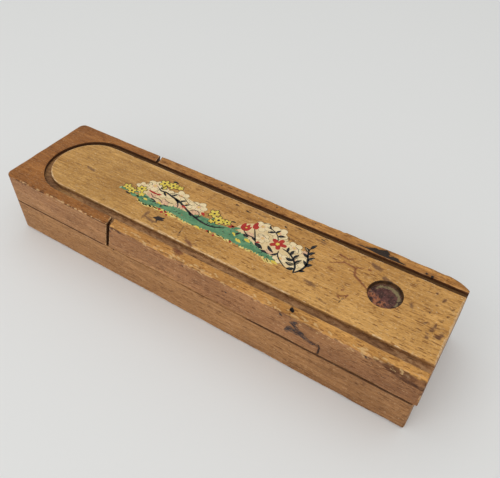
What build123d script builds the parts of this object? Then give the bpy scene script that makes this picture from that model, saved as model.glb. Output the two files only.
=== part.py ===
from build123d import *
import math
import os

# Two-tier wooden pencil box.
# Frame: X along the length (+X is the open end with the finger recess), Y across,
# +Z up. Origin at the centre of the bounding box, on the surface the box rests on.
# The lower tier and the end block are one glued body. The upper tray turns about a
# screw at the +X end, and the lid slides out of the tray towards +X.
# All dimensions are in millimetres.

os.makedirs("parts", exist_ok=True)

# ---------------------------------------------------------------- driving sizes
LENGTH = 220.0            # overall length
WIDTH = 54.5              # overall width
BASE_TOP = 19.1           # height of the lower tier
RAIL_TOP = 35.3           # height of the side rails and the end block
FIELD_TOP = 36.0          # top of the lid's raised field
BASE_RIGHT_INSET = 1.35   # the lower tier stops this far short of the tray
TIER_GAP = 0.30           # running gap between the lower tier and the tray

BASE_CORNER_R = 3.6       # upright corners of the lower tier and the end block at the fixed end
BASE_END_CORNER_R = 1.5   # upright corners of the lower tier at the free end
TRAY_CORNER_R = 0.8       # front upright corner of the tray's free end
TRAY_TAPER_X = 95.0       # the tray's back corner is tapered by use from here to the free end
TRAY_TAPER_Y = 23.3       # half width left at the free end by that taper
ARRIS_R = 0.55            # rounded edges
SEAM_EASE = 0.35          # eased edges along the seams
FOOT_R = 1.1              # bottom edge of the lower tier

# slanted saw cut between the end block and the tray
CUT_X = -47.5             # end block's face at y = 0, at the rail top
CUT_PER_Y = -0.242        # change of x for each mm towards +Y
CUT_PER_DEPTH = -0.247    # change of x for each mm below the rail top
CUT_GAP = 1.2             # width of the cut along X

# lid channel
LIP_HALF = 22.1           # half width of the channel between the lips
LIP_THICK = 1.6           # lip over the groove
GROOVE_HEIGHT = 2.4
GROOVE_DEPTH = 2.5        # depth of the groove under the lip
ARCH_X = -78.8            # centre of the channel's round end

# lid
TONGUE_HALF = 24.1        # half width of the thin edge that runs in the groove
TONGUE_THICK = 2.0
TONGUE_ARCH_X = -78.35
FIELD_HALF = 18.5         # half width of the raised field
FIELD_ARCH_X = -78.9
RECESS_X, RECESS_Y, RECESS_R, RECESS_DEPTH = 82.0, 2.6, 7.2, 2.2

# printed transfer on the lid
FILM_THICK = 0.08

# compartments
TROUGH_X0, TROUGH_X1 = -103.5, 89.0     # lower tier
TROUGH_FLOOR = 5.2
TROUGH_INNER, TROUGH_OUTER = 1.6, 23.2
TRAY_FLOOR = 22.6
TRAY_POCKET_HALF = 19.4
LONG_X0, LONG_X1 = -35.5, 50.5
SHORT_X0, SHORT_X1 = 55.0, 87.0
WELL_R, WELL_FLOOR, WELL_X1 = 16.6, 22.6, -62.0

# pivot
PIVOT_X, PIVOT_Y = 98.0, 0.0
SHANK_R = 1.6
BORE_CLEAR = 0.08
HEAD_R, HEAD_TOP, HEAD_RIM = 3.4, 30.9, 0.5
HEAD_CLEAR = 0.30
SLOT_W, SLOT_D = 0.9, 1.0
SCREW_TIP_Z = 6.6

# ---------------------------------------------------------------- derived sizes
X0, X1 = -LENGTH / 2, LENGTH / 2
HW = WIDTH / 2
BASE_X1 = X1 - BASE_RIGHT_INSET
TRAY_BOTTOM = BASE_TOP + TIER_GAP
GROOVE_TOP = RAIL_TOP - LIP_THICK
GROOVE_FLOOR = GROOVE_TOP - GROOVE_HEIGHT
TONGUE_BOTTOM = GROOVE_FLOOR + (GROOVE_HEIGHT - TONGUE_THICK) / 2
TONGUE_TOP = TONGUE_BOTTOM + TONGUE_THICK


def box(x0, x1, y0, y1, z0, z1):
    return Pos((x0 + x1) / 2, (y0 + y1) / 2, (z0 + z1) / 2) * Box(x1 - x0, y1 - y0, z1 - z0)


def near(value, target, tol=0.02):
    return abs(value - target) < tol


def upright_edges(part, xs, z_mid):
    """Upright edges that stand at one of the given x positions, on the outer sides."""
    out = []
    for e in part.edges().filter_by(Axis.Z):
        c = e.center()
        if any(near(c.X, x) for x in xs) and near(abs(c.Y), HW):
            out.append(e)
    return out


def cut_tool(side):
    """Big prism whose slanted face is the saw cut. side -1 keeps x below the end
    block's face, +1 keeps x above the tray's face."""
    off = 0.0 if side < 0 else CUT_GAP

    def x_at(y, z):
        return CUT_X + off + CUT_PER_Y * y + CUT_PER_DEPTH * (RAIL_TOP - z)

    yb, z0, z1 = 60.0, -5.0, 60.0
    far = 400.0 * (1 if side < 0 else -1)
    corners = []
    for y in (-yb, yb):
        for z in (z0, z1):
            corners.append((x_at(y, z), y, z))
    a, b, c, d = corners                       # (-y,z0) (-y,z1) (+y,z0) (+y,z1)
    near_face = Face(Wire.make_polygon([a, b, d, c], close=True))
    return extrude(near_face, amount=400.0, dir=(1.0 if side < 0 else -1.0, 0, 0))


def channel(x_start, x_end, half, z0, z1):
    """Channel with a round end at ARCH_X, running to x_end."""
    body = box(ARCH_X, x_end, -half, half, z0, z1)
    round_end = Pos(ARCH_X, 0, (z0 + z1) / 2) * Cylinder(half, z1 - z0)
    return body + round_end


def trough(x0, x1, y0, y1, floor, top, end_r, floor_r):
    """Routed compartment with rounded ends and a rounded floor."""
    p = box(x0, x1, y0, y1, floor, top + 4.0)
    p = fillet(p.edges().filter_by(Axis.Z), end_r)
    bottom = [e for e in p.edges() if near(e.center().Z, floor)]
    return fillet(bottom, floor_r)


# ---------------------------------------------------------------- lower tier
base = box(X0, BASE_X1, -HW, HW, 0, BASE_TOP)
base = fillet(upright_edges(base, [X0], 0), BASE_CORNER_R)
base = fillet(upright_edges(base, [BASE_X1], 0), BASE_END_CORNER_R)
base = fillet([e for e in base.edges() if near(e.center().Z, 0.0)], FOOT_R)
base = chamfer([e for e in base.edges() if near(e.center().Z, BASE_TOP)], SEAM_EASE)
for sy in (-1, 1):
    ya, yb_ = sorted((sy * TROUGH_INNER, sy * TROUGH_OUTER))
    base -= trough(TROUGH_X0, TROUGH_X1, ya, yb_, TROUGH_FLOOR, BASE_TOP, 7.0, 4.5)
base -= Pos(PIVOT_X, PIVOT_Y, (SCREW_TIP_Z + BASE_TOP) / 2 + 1) * Cylinder(
    SHANK_R, BASE_TOP - SCREW_TIP_Z + 2)
base_block = base

# ---------------------------------------------------------------- end block
# wide at the cut end so that the slanted cut trims it
eb = box(X0, -30.0, -HW, HW, BASE_TOP, RAIL_TOP)
eb = fillet(upright_edges(eb, [X0], 0), BASE_CORNER_R)
eb = fillet([e for e in eb.edges() if near(e.center().Z, RAIL_TOP)], ARRIS_R)
eb = chamfer([e for e in eb.edges() if near(e.center().Z, BASE_TOP)], SEAM_EASE)
eb -= channel(X0, 0.0, LIP_HALF, GROOVE_FLOOR, RAIL_TOP + 3)
eb -= channel(X0, 0.0, LIP_HALF + GROOVE_DEPTH, GROOVE_FLOOR, GROOVE_TOP)
well = box(ARCH_X, WELL_X1, -WELL_R, WELL_R, WELL_FLOOR, RAIL_TOP)
well += Pos(ARCH_X, 0, (WELL_FLOOR + RAIL_TOP) / 2) * Cylinder(WELL_R, RAIL_TOP - WELL_FLOOR)
well = fillet([e for e in well.edges().filter_by(Axis.Z) if near(e.center().X, WELL_X1)], 4.0)
well = fillet([e for e in well.edges() if near(e.center().Z, WELL_FLOOR)], 2.5)
eb -= well
eb -= cut_tool(-1)
end_block = eb

# ---------------------------------------------------------------- swinging tray
tray = box(-70.0, X1, -HW, HW, TRAY_BOTTOM, RAIL_TOP)
ends = upright_edges(tray, [X1], 0)
tray = fillet([e for e in ends if e.center().Y < 0], TRAY_CORNER_R)
with BuildSketch(Plane.XY) as taper:
    with BuildLine():
        worn = Spline((TRAY_TAPER_X, HW), (101.6, 26.7), (106.2, 25.5), (X1, TRAY_TAPER_Y),
                      tangents=((1, 0), (0.80, -0.60)))
        Polyline(worn @ 1, (X1 + 4, TRAY_TAPER_Y - 3), (X1 + 4, HW + 4), (TRAY_TAPER_X, HW + 4), worn @ 0)
    make_face()
tray -= Pos(0, 0, TRAY_BOTTOM - 2) * extrude(taper.sketch, RAIL_TOP - TRAY_BOTTOM + 6)
tray = fillet([e for e in tray.edges() if near(e.center().Z, RAIL_TOP)], ARRIS_R)
tray = chamfer([e for e in tray.edges() if near(e.center().Z, TRAY_BOTTOM)], SEAM_EASE)
tray -= box(-200.0, X1 + 20, -LIP_HALF, LIP_HALF, GROOVE_FLOOR, RAIL_TOP + 3)
tray -= box(-200.0, X1 + 20, -LIP_HALF - GROOVE_DEPTH, LIP_HALF + GROOVE_DEPTH,
            GROOVE_FLOOR, GROOVE_TOP)
tray -= trough(LONG_X0, LONG_X1, -TRAY_POCKET_HALF, TRAY_POCKET_HALF,
               TRAY_FLOOR, GROOVE_FLOOR, 7.0, 3.2)
tray -= trough(SHORT_X0, SHORT_X1, -TRAY_POCKET_HALF, TRAY_POCKET_HALF,
               TRAY_FLOOR, GROOVE_FLOOR, 7.0, 3.2)
# bore and countersink for the pivot screw
tray -= Pos(PIVOT_X, PIVOT_Y, (TRAY_BOTTOM + GROOVE_FLOOR) / 2) * Cylinder(
    SHANK_R + BORE_CLEAR, GROOVE_FLOOR - TRAY_BOTTOM + 4)
cone_h = HEAD_R - SHANK_R
sink_z1 = HEAD_TOP - HEAD_RIM - HEAD_CLEAR
tray -= Pos(PIVOT_X, PIVOT_Y, sink_z1 - (cone_h + HEAD_CLEAR) / 2) * Cone(
    SHANK_R + BORE_CLEAR, HEAD_R + HEAD_CLEAR, cone_h + HEAD_CLEAR)
tray -= Pos(PIVOT_X, PIVOT_Y, (sink_z1 + GROOVE_FLOOR) / 2 + 0.5) * Cylinder(
    HEAD_R + HEAD_CLEAR, GROOVE_FLOOR - sink_z1 + 1)
tray -= cut_tool(1)
swing_tray = tray

# ---------------------------------------------------------------- pivot screw
screw = Pos(PIVOT_X, PIVOT_Y, HEAD_TOP - HEAD_RIM / 2) * Cylinder(HEAD_R, HEAD_RIM)
screw += Pos(PIVOT_X, PIVOT_Y, HEAD_TOP - HEAD_RIM - cone_h / 2) * Cone(
    SHANK_R, HEAD_R, cone_h)
shank_z1 = HEAD_TOP - HEAD_RIM - cone_h
TIP = 1.4
screw += Pos(PIVOT_X, PIVOT_Y, (SCREW_TIP_Z + TIP + shank_z1) / 2) * Cylinder(
    SHANK_R, shank_z1 - SCREW_TIP_Z - TIP)
screw += Pos(PIVOT_X, PIVOT_Y, SCREW_TIP_Z + TIP / 2) * Cone(0.5, SHANK_R, TIP)
turn = 28.0
screw -= Pos(PIVOT_X, PIVOT_Y, HEAD_TOP - SLOT_D / 2 + 0.5) * Rot(0, 0, turn) * Box(
    2 * HEAD_R + 2, SLOT_W, SLOT_D + 1.0)
pivot_screw = screw

# ---------------------------------------------------------------- lid
def lid_plan(arch_x, half, x_end, z0, z1):
    body = box(arch_x, x_end, -half, half, z0, z1)
    return body + Pos(arch_x, 0, (z0 + z1) / 2) * Cylinder(half, z1 - z0)


tongue = lid_plan(TONGUE_ARCH_X, TONGUE_HALF, X1, TONGUE_BOTTOM, TONGUE_TOP)
field = lid_plan(FIELD_ARCH_X, FIELD_HALF, X1, TONGUE_TOP - 0.5, FIELD_TOP)
field = fillet([e for e in field.edges() if near(e.center().Z, FIELD_TOP)], 0.45)
lid_body = tongue + field
recess = Pos(RECESS_X, RECESS_Y, FIELD_TOP - RECESS_DEPTH / 2 + 1) * Cylinder(
    RECESS_R, RECESS_DEPTH + 2)
recess = fillet([e for e in recess.edges() if near(e.center().Z, FIELD_TOP - RECESS_DEPTH)], 0.6)
lid_body -= recess
lid_body = fillet([e for e in lid_body.edges()
                   if near(e.center().Z, FIELD_TOP) and near(e.center().X, RECESS_X, 8.0)
                   and near(e.center().Y, RECESS_Y, 8.0)], 0.3)
lid = lid_body

# ---------------------------------------------------------------- printed transfer
outline = [
    (-54.6, -3.0), (-50.0, 3.8), (-44.0, 9.6), (-36.0, 13.9), (-26.0, 13.3), (-18.0, 10.2),
    (-8.0, 9.2), (1.0, 9.4), (8.0, 9.6), (14.0, 13.4), (22.0, 15.8), (32.0, 14.6),
    (40.0, 12.2), (46.0, 11.8), (49.8, 4.0), (48.6, -5.0), (44.0, -9.8), (34.0, -10.2),
    (20.0, -9.4), (4.0, -8.8), (-12.0, -8.8), (-27.0, -8.2), (-42.0, -7.6), (-51.0, -7.0),
]
film_wire = Wire([Spline(*[(x, y, FIELD_TOP) for x, y in outline], periodic=True).edge()])
lid_decal = extrude(Face(film_wire), amount=FILM_THICK, dir=(0, 0, 1))

# ---------------------------------------------------------------- write the parts
NODES = {
    "base_block": base_block,
    "end_block": end_block,
    "swing_tray": swing_tray,
    "pivot_screw": pivot_screw,
    "lid": lid,
    "lid_decal": lid_decal,
}
for name, shape in NODES.items():
    solids = shape.solids()
    shape = solids[0] if len(solids) == 1 else shape
    shape.label = name
    export_step(shape, f"parts/{name}.step")
    bb = shape.bounding_box()
    print(name, len(solids), "solid(s)", round(shape.volume, 1), "mm3",
          [round(v, 2) for v in (bb.min.X, bb.min.Y, bb.min.Z, bb.max.X, bb.max.Y, bb.max.Z)])
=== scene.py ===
import math
from bisect import bisect_left, bisect_right

import bmesh
import bpy
import numpy as np
from mathutils import Matrix, Vector


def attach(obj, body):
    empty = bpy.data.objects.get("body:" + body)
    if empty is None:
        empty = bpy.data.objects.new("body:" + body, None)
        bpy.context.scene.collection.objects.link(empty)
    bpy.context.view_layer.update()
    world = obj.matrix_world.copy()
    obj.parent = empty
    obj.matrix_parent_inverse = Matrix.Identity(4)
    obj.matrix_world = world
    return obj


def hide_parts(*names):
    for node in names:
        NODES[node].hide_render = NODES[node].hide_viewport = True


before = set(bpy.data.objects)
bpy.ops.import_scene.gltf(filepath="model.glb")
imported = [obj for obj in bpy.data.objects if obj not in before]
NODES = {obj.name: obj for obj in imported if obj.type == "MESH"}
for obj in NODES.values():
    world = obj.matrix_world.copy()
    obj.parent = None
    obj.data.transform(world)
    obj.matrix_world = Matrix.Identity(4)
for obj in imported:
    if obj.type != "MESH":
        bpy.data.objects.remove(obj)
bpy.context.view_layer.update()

scene = bpy.context.scene

# =====================================================================
# camera, world, light, floor
# =====================================================================
right = Vector((0.84006, 0.54249, 0.00030)).normalized()
view_dir = Vector((-0.38715, 0.59990, -0.70017)).normalized()
up = right.cross(view_dir).normalized()
right = view_dir.cross(up).normalized()
cam_data = bpy.data.cameras.new("camera")
cam_data.sensor_fit = "HORIZONTAL"
cam_data.sensor_width = 36.0
cam_data.lens = 550.278 / 500.0 * 36.0
cam_data.clip_start, cam_data.clip_end = 0.01, 20.0
cam = bpy.data.objects.new("camera", cam_data)
cam_m = Matrix((right, up, -view_dir)).transposed().to_4x4()
cam_m.translation = Vector((0.113368, -0.145861, 0.205774))
cam.matrix_world = cam_m
scene.collection.objects.link(cam)
scene.camera = cam

scene.view_settings.view_transform = "Standard"
scene.view_settings.look = "None"
scene.view_settings.exposure = 0.0
scene.view_settings.gamma = 1.0

world = bpy.data.worlds.new("studio")
world.use_nodes = True
bg = world.node_tree.nodes["Background"]
bg.inputs["Color"].default_value = (0.985, 1.0, 0.985, 1.0)
bg.inputs["Strength"].default_value = 0.60
scene.world = world


def area_light(name, loc, target, size, power, colour):
    d = bpy.data.lights.new(name, "AREA")
    d.shape = "RECTANGLE"
    d.size, d.size_y = size
    d.energy = power
    d.color = colour
    o = bpy.data.objects.new(name, d)
    o.location = loc
    o.rotation_mode = "QUATERNION"
    o.rotation_quaternion = (Vector(target) - Vector(loc)).to_track_quat("-Z", "Y")
    scene.collection.objects.link(o)
    return o


area_light("key", (-0.02, 0.0, 1.25), (0, 0, 0), (1.9, 1.6), 4.2, (1.0, 0.99, 0.97))
area_light("front", (-0.05, -1.15, 0.85), (0, 0, 0.02), (1.8, 1.1), 6.6, (1.0, 0.992, 0.975))

floor_me = bpy.data.meshes.new("floor")
bm = bmesh.new()
bmesh.ops.create_grid(bm, x_segments=8, y_segments=8, size=3.0)
bm.to_mesh(floor_me)
bm.free()
floor = bpy.data.objects.new("floor", floor_me)
floor.location = (0, 0, -0.00005)
scene.collection.objects.link(floor)


# =====================================================================
# geometry helpers. Everything here works in millimetres.
# =====================================================================
def vnoise(p, scale, seed):
    """Smooth value noise in 0..1 at points p (n x 3), cells of the given size (one number or three)."""
    q = np.asarray(p, float) / np.asarray(scale, float) + 1000.0
    i = np.floor(q).astype(np.int64)
    f = q - i
    f = f * f * (3 - 2 * f)

    def h(dx, dy, dz):
        n = ((i[:, 0] + dx) * 374761393 + (i[:, 1] + dy) * 668265263
             + (i[:, 2] + dz) * 1442695041 + seed * 1013904223) & 0xFFFFFFFF
        n = ((n ^ (n >> 13)) * 1274126177) & 0xFFFFFFFF
        n = ((n ^ (n >> 15)) * 2246822519) & 0xFFFFFFFF
        return ((n ^ (n >> 16)) & 0xFFFF) / 65535.0

    r = 0
    for dx in (0, 1):
        for dy in (0, 1):
            for dz in (0, 1):
                w = ((f[:, 0] if dx else 1 - f[:, 0]) * (f[:, 1] if dy else 1 - f[:, 1])
                     * (f[:, 2] if dz else 1 - f[:, 2]))
                r = r + w * h(dx, dy, dz)
    return r


def line_noise(s, scale, seed):
    s = np.asarray(s, float)
    return vnoise(np.stack([s, np.zeros_like(s), np.zeros_like(s)], 1), scale, seed)


def smooth01(x):
    x = np.clip(x, 0, 1)
    return x * x * (3 - 2 * x)


def steps(a, b, d):
    n = max(1, int(round((b - a) / d)))
    return [a + (b - a) * k / n for k in range(n + 1)]


def slice_polys(V, F, axis, planes):
    """Cuts convex polygons at planes across one axis, and shares the new points between neighbours."""
    planes = sorted(set(round(p, 4) for p in planes))
    eps = 2e-3
    cut, out = {}, []
    for f in F:
        c = [V[i][axis] for i in f]
        a = bisect_right(planes, min(c) + eps)
        b = bisect_left(planes, max(c) - eps)
        poly = f
        for k in range(a, b):
            p = planes[k]
            low, high = [], []
            n = len(poly)
            for j in range(n):
                i0, i1 = poly[j], poly[(j + 1) % n]
                d0, d1 = V[i0][axis] - p, V[i1][axis] - p
                if abs(d0) <= eps:
                    low.append(i0)
                    high.append(i0)
                elif d0 < 0:
                    low.append(i0)
                else:
                    high.append(i0)
                if (d0 < -eps and d1 > eps) or (d0 > eps and d1 < -eps):
                    u, w = (i0, i1) if i0 < i1 else (i1, i0)
                    ni = cut.get((u, w, k))
                    if ni is None:
                        du, dw = V[u][axis] - p, V[w][axis] - p
                        t = du / (du - dw)
                        q = [V[u][m] + (V[w][m] - V[u][m]) * t for m in range(3)]
                        q[axis] = p
                        ni = len(V)
                        V.append(q)
                        cut[(u, w, k)] = ni
                    low.append(ni)
                    high.append(ni)
            if len(low) >= 3:
                out.append(low)
            poly = high
            if len(poly) < 3:
                break
        if len(poly) >= 3:
            out.append(poly)
    return V, out


def fine_copy(node, xs, ys, zs):
    """A bmesh in millimetres with the CAD node's exact shape, cut into a fine grid of quads."""
    bm = bmesh.new()
    bm.from_mesh(NODES[node].data)
    for v in bm.verts:
        v.co *= 1000.0
    bmesh.ops.remove_doubles(bm, verts=bm.verts, dist=0.002)
    bmesh.ops.triangulate(bm, faces=[f for f in bm.faces if len(f.verts) > 3])
    bm.verts.index_update()
    V = [list(v.co) for v in bm.verts]
    F = [[v.index for v in f.verts] for f in bm.faces]
    bm.free()
    for axis, planes in ((0, xs), (1, ys), (2, zs)):
        if planes:
            V, F = slice_polys(V, F, axis, planes)
    me = bpy.data.meshes.new("tmp")
    me.from_pydata(V, [], F)
    bm = bmesh.new()
    bm.from_mesh(me)
    bpy.data.meshes.remove(me)
    bm.normal_update()
    grids = [sorted(set(round(p, 4) for p in pl)) for pl in (xs, ys, zs)]

    def on_grid(e):
        a, b = e.verts[0].co, e.verts[1].co
        for axis in range(3):
            if abs(a[axis] - b[axis]) < 1.5e-3 and grids[axis]:
                k = bisect_left(grids[axis], a[axis] - 3e-3)
                if k < len(grids[axis]) and abs(grids[axis][k] - a[axis]) < 3e-3:
                    return True
        return False

    spare = []
    for e in bm.edges:
        if len(e.link_faces) == 2 and not on_grid(e):
            if e.link_faces[0].normal.dot(e.link_faces[1].normal) > 0.99999:
                spare.append(e)
    bmesh.ops.dissolve_edges(bm, edges=spare, use_verts=False, use_face_split=False)
    bm.verts.ensure_lookup_table()
    return bm


class Piece:
    """A worn copy of a CAD node: vertex positions as an array, with wear (on the lid partly a painted highlight), grime
    together with painted shade, and dust kept per vertex.
    """

    def __init__(self, node, xs, ys, zs):
        self.node = node
        self.bm = fine_copy(node, xs, ys, zs)
        self.bm.normal_update()
        self.P = np.array([v.co for v in self.bm.verts], float)
        self.P0 = self.P.copy()
        self.N = np.array([v.normal for v in self.bm.verts], float)
        self.wear_and_highlight = np.zeros(len(self.P))
        self.grime_and_shade = np.zeros(len(self.P))
        self.dust = np.zeros(len(self.P))

    def arris(self, u, v, du, dv, s, h, crown=0.25, reach=4.0, mask=None, seed=1):
        """Wears an edge down. u and v are depths below its two faces, du and dv the directions they grow in and h the
        bevel's depth at each vertex. s, the place along it, is not used."""
        near = (u > -0.6) & (v > -0.6) & (u < reach) & (v < reach)
        if mask is not None:
            near &= mask
        t = (u + v) / math.sqrt(2)
        d = np.where(near, (h - t) * (1 - crown), 0.0)
        d = np.clip(d, 0, None)
        self.P += (du + dv) * (d / math.sqrt(2))[:, None]
        w = smooth01((h - t + 0.25) / 0.55) * near * smooth01(h / 0.35)
        self.wear_and_highlight = np.maximum(self.wear_and_highlight, w)

    def chips(self, s, seed, count, a, b, size=(0.8, 2.6), deep=(0.25, 0.7)):
        """Depth of a row of random chips along s, between a and b."""
        rng = np.random.default_rng(seed)
        h = np.zeros_like(s)
        for _ in range(count):
            c, w, d = rng.uniform(a, b), rng.uniform(*size), rng.uniform(*deep)
            k = (s - c) / w * 2
            h = np.maximum(h, d * np.clip(1 - k * k, 0, None) ** 0.7)
        return h

    def dent(self, centre, radii, depth, direction=(0, 0, -1), angle=0.0, sharp=1.5, grime_and_shade=0.0, axes=(0, 1), face=None):
        """Pushes a small pit into the surface near centre (two coordinates, on the given axes)."""
        a, b = axes
        x, y = self.P0[:, a] - centre[0], self.P0[:, b] - centre[1]
        c, s = math.cos(math.radians(angle)), math.sin(math.radians(angle))
        q = ((x * c + y * s) / radii[0]) ** 2 + ((-x * s + y * c) / radii[1]) ** 2
        w = np.clip(1 - q, 0, None) ** sharp
        if face is not None:
            w = w * face
        self.P += np.array(direction, float)[None, :] * (w * depth)[:, None]
        self.grime_and_shade = np.maximum(self.grime_and_shade, np.clip(w * 1.6, 0, 1) * grime_and_shade)

    def finish(self, name, body, material, sharp_deg=38, fields=None):
        bm = self.bm
        fields = dict(fields or {})
        fields["up"] = np.clip(self.N[:, 2], -1, 1)
        for v, p in zip(bm.verts, self.P):
            v.co = (p[0] * 0.001, p[1] * 0.001, p[2] * 0.001)
        me = bpy.data.meshes.new(name)
        bm.to_mesh(me)
        bm.free()
        for key, val in (("wear_and_highlight", self.wear_and_highlight), ("grime_and_shade", self.grime_and_shade), ("dust", self.dust)):
            at = me.attributes.new(key, "FLOAT", "POINT")
            at.data.foreach_set("value", np.clip(val, 0, 1).astype(np.float32))
        for key, val in fields.items():
            at = me.attributes.new(key, "FLOAT", "POINT")
            at.data.foreach_set("value", np.asarray(val, np.float32))
        me.polygons.foreach_set("use_smooth", [True] * len(me.polygons))
        me.set_sharp_from_angle(angle=math.radians(sharp_deg))
        me.materials.append(material)
        me.validate()
        ob = bpy.data.objects.new(name, me)
        scene.collection.objects.link(ob)
        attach(ob, body)
        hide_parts(self.node)
        return ob


def unit(*v):
    v = np.array(v, float)
    return v / np.linalg.norm(v)


# =====================================================================
# node materials
# =====================================================================
def srgb(r, g, b):
    def f(c):
        c = c / 255.0
        return c / 12.92 if c <= 0.04045 else ((c + 0.055) / 1.055) ** 2.4
    return (f(r), f(g), f(b), 1.0)


class Graph:
    """Short hands for one material's node tree."""

    def __init__(self, name):
        self.mat = bpy.data.materials.new(name)
        self.mat.use_nodes = True
        self.t = self.mat.node_tree
        self.t.nodes.clear()
        self.out = self.t.nodes.new("ShaderNodeOutputMaterial")
        self.bsdf = self.t.nodes.new("ShaderNodeBsdfPrincipled")
        self.t.links.new(self.bsdf.outputs[0], self.out.inputs[0])
        tc = self.t.nodes.new("ShaderNodeTexCoord")
        self.p = self.vmath("SCALE", tc.outputs["Object"], scale=1000.0)
        sep = self.t.nodes.new("ShaderNodeSeparateXYZ")
        self.t.links.new(self.p, sep.inputs[0])
        self.x, self.y, self.z = sep.outputs

    def put(self, sock, val):
        if isinstance(val, bpy.types.NodeSocket):
            self.t.links.new(val, sock)
        elif val is not None:
            sock.default_value = val

    def m(self, op, a, b=None, c=None, clamp=False):
        n = self.t.nodes.new("ShaderNodeMath")
        n.operation = op
        n.use_clamp = clamp
        for s, v in zip(n.inputs, (a, b, c)):
            self.put(s, v)
        return n.outputs[0]

    def vmath(self, op, a, b=None, scale=None):
        n = self.t.nodes.new("ShaderNodeVectorMath")
        n.operation = op
        self.put(n.inputs[0], a)
        if b is not None:
            self.put(n.inputs[1], b)
        if scale is not None:
            n.inputs["Scale"].default_value = scale
        return n.outputs[0]

    def stretch(self, sx, sy, sz, off=(0, 0, 0), vec=None):
        v = self.vmath("MULTIPLY", vec or self.p, (sx, sy, sz))
        return self.vmath("ADD", v, off)

    def noise(self, vec, detail=2.0, rough=0.5, dist=0.0, colour=False):
        n = self.t.nodes.new("ShaderNodeTexNoise")
        self.put(n.inputs["Vector"], vec)
        n.inputs["Scale"].default_value = 1.0
        n.inputs["Detail"].default_value = detail
        n.inputs["Roughness"].default_value = rough
        n.inputs["Distortion"].default_value = dist
        return n.outputs["Color"] if colour else n.outputs["Fac"]

    def voronoi(self, vec, rand=1.0, feature="F1"):
        n = self.t.nodes.new("ShaderNodeTexVoronoi")
        n.feature = feature
        self.put(n.inputs["Vector"], vec)
        n.inputs["Scale"].default_value = 1.0
        n.inputs["Randomness"].default_value = rand
        return n.outputs["Distance"], n.outputs.get("Color")

    def band(self, val, lo, hi, a=0.0, b=1.0, smooth=True):
        n = self.t.nodes.new("ShaderNodeMapRange")
        n.interpolation_type = "SMOOTHSTEP" if smooth else "LINEAR"
        n.clamp = True
        self.put(n.inputs["Value"], val)
        n.inputs["From Min"].default_value = lo
        n.inputs["From Max"].default_value = hi
        n.inputs["To Min"].default_value = a
        n.inputs["To Max"].default_value = b
        return n.outputs["Result"]

    def mix(self, f, a, b, blend="MIX"):
        n = self.t.nodes.new("ShaderNodeMix")
        n.data_type = "RGBA"
        n.blend_type = blend
        n.clamp_factor = True
        self.put(n.inputs["Factor"], f)
        self.put(n.inputs["A"] if False else n.inputs[6], a)
        self.put(n.inputs[7], b)
        return n.outputs[2]

    def attr(self, name):
        n = self.t.nodes.new("ShaderNodeAttribute")
        n.attribute_name = name
        return n.outputs["Fac"]

    def bump(self, height, dist, strength=1.0, normal=None):
        n = self.t.nodes.new("ShaderNodeBump")
        n.inputs["Strength"].default_value = strength
        n.inputs["Distance"].default_value = dist
        self.put(n.inputs["Height"], height)
        if normal is not None:
            self.put(n.inputs["Normal"], normal)
        return n.outputs["Normal"]

    def mul(self, *v):
        r = v[0]
        for k in v[1:]:
            r = self.m("MULTIPLY", r, k)
        return r

    def add(self, *v):
        r = v[0]
        for k in v[1:]:
            r = self.m("ADD", r, k)
        return r

    def inv(self, v):
        return self.m("SUBTRACT", 1.0, v, clamp=True)


WHITE = (1, 1, 1, 1)


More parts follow.
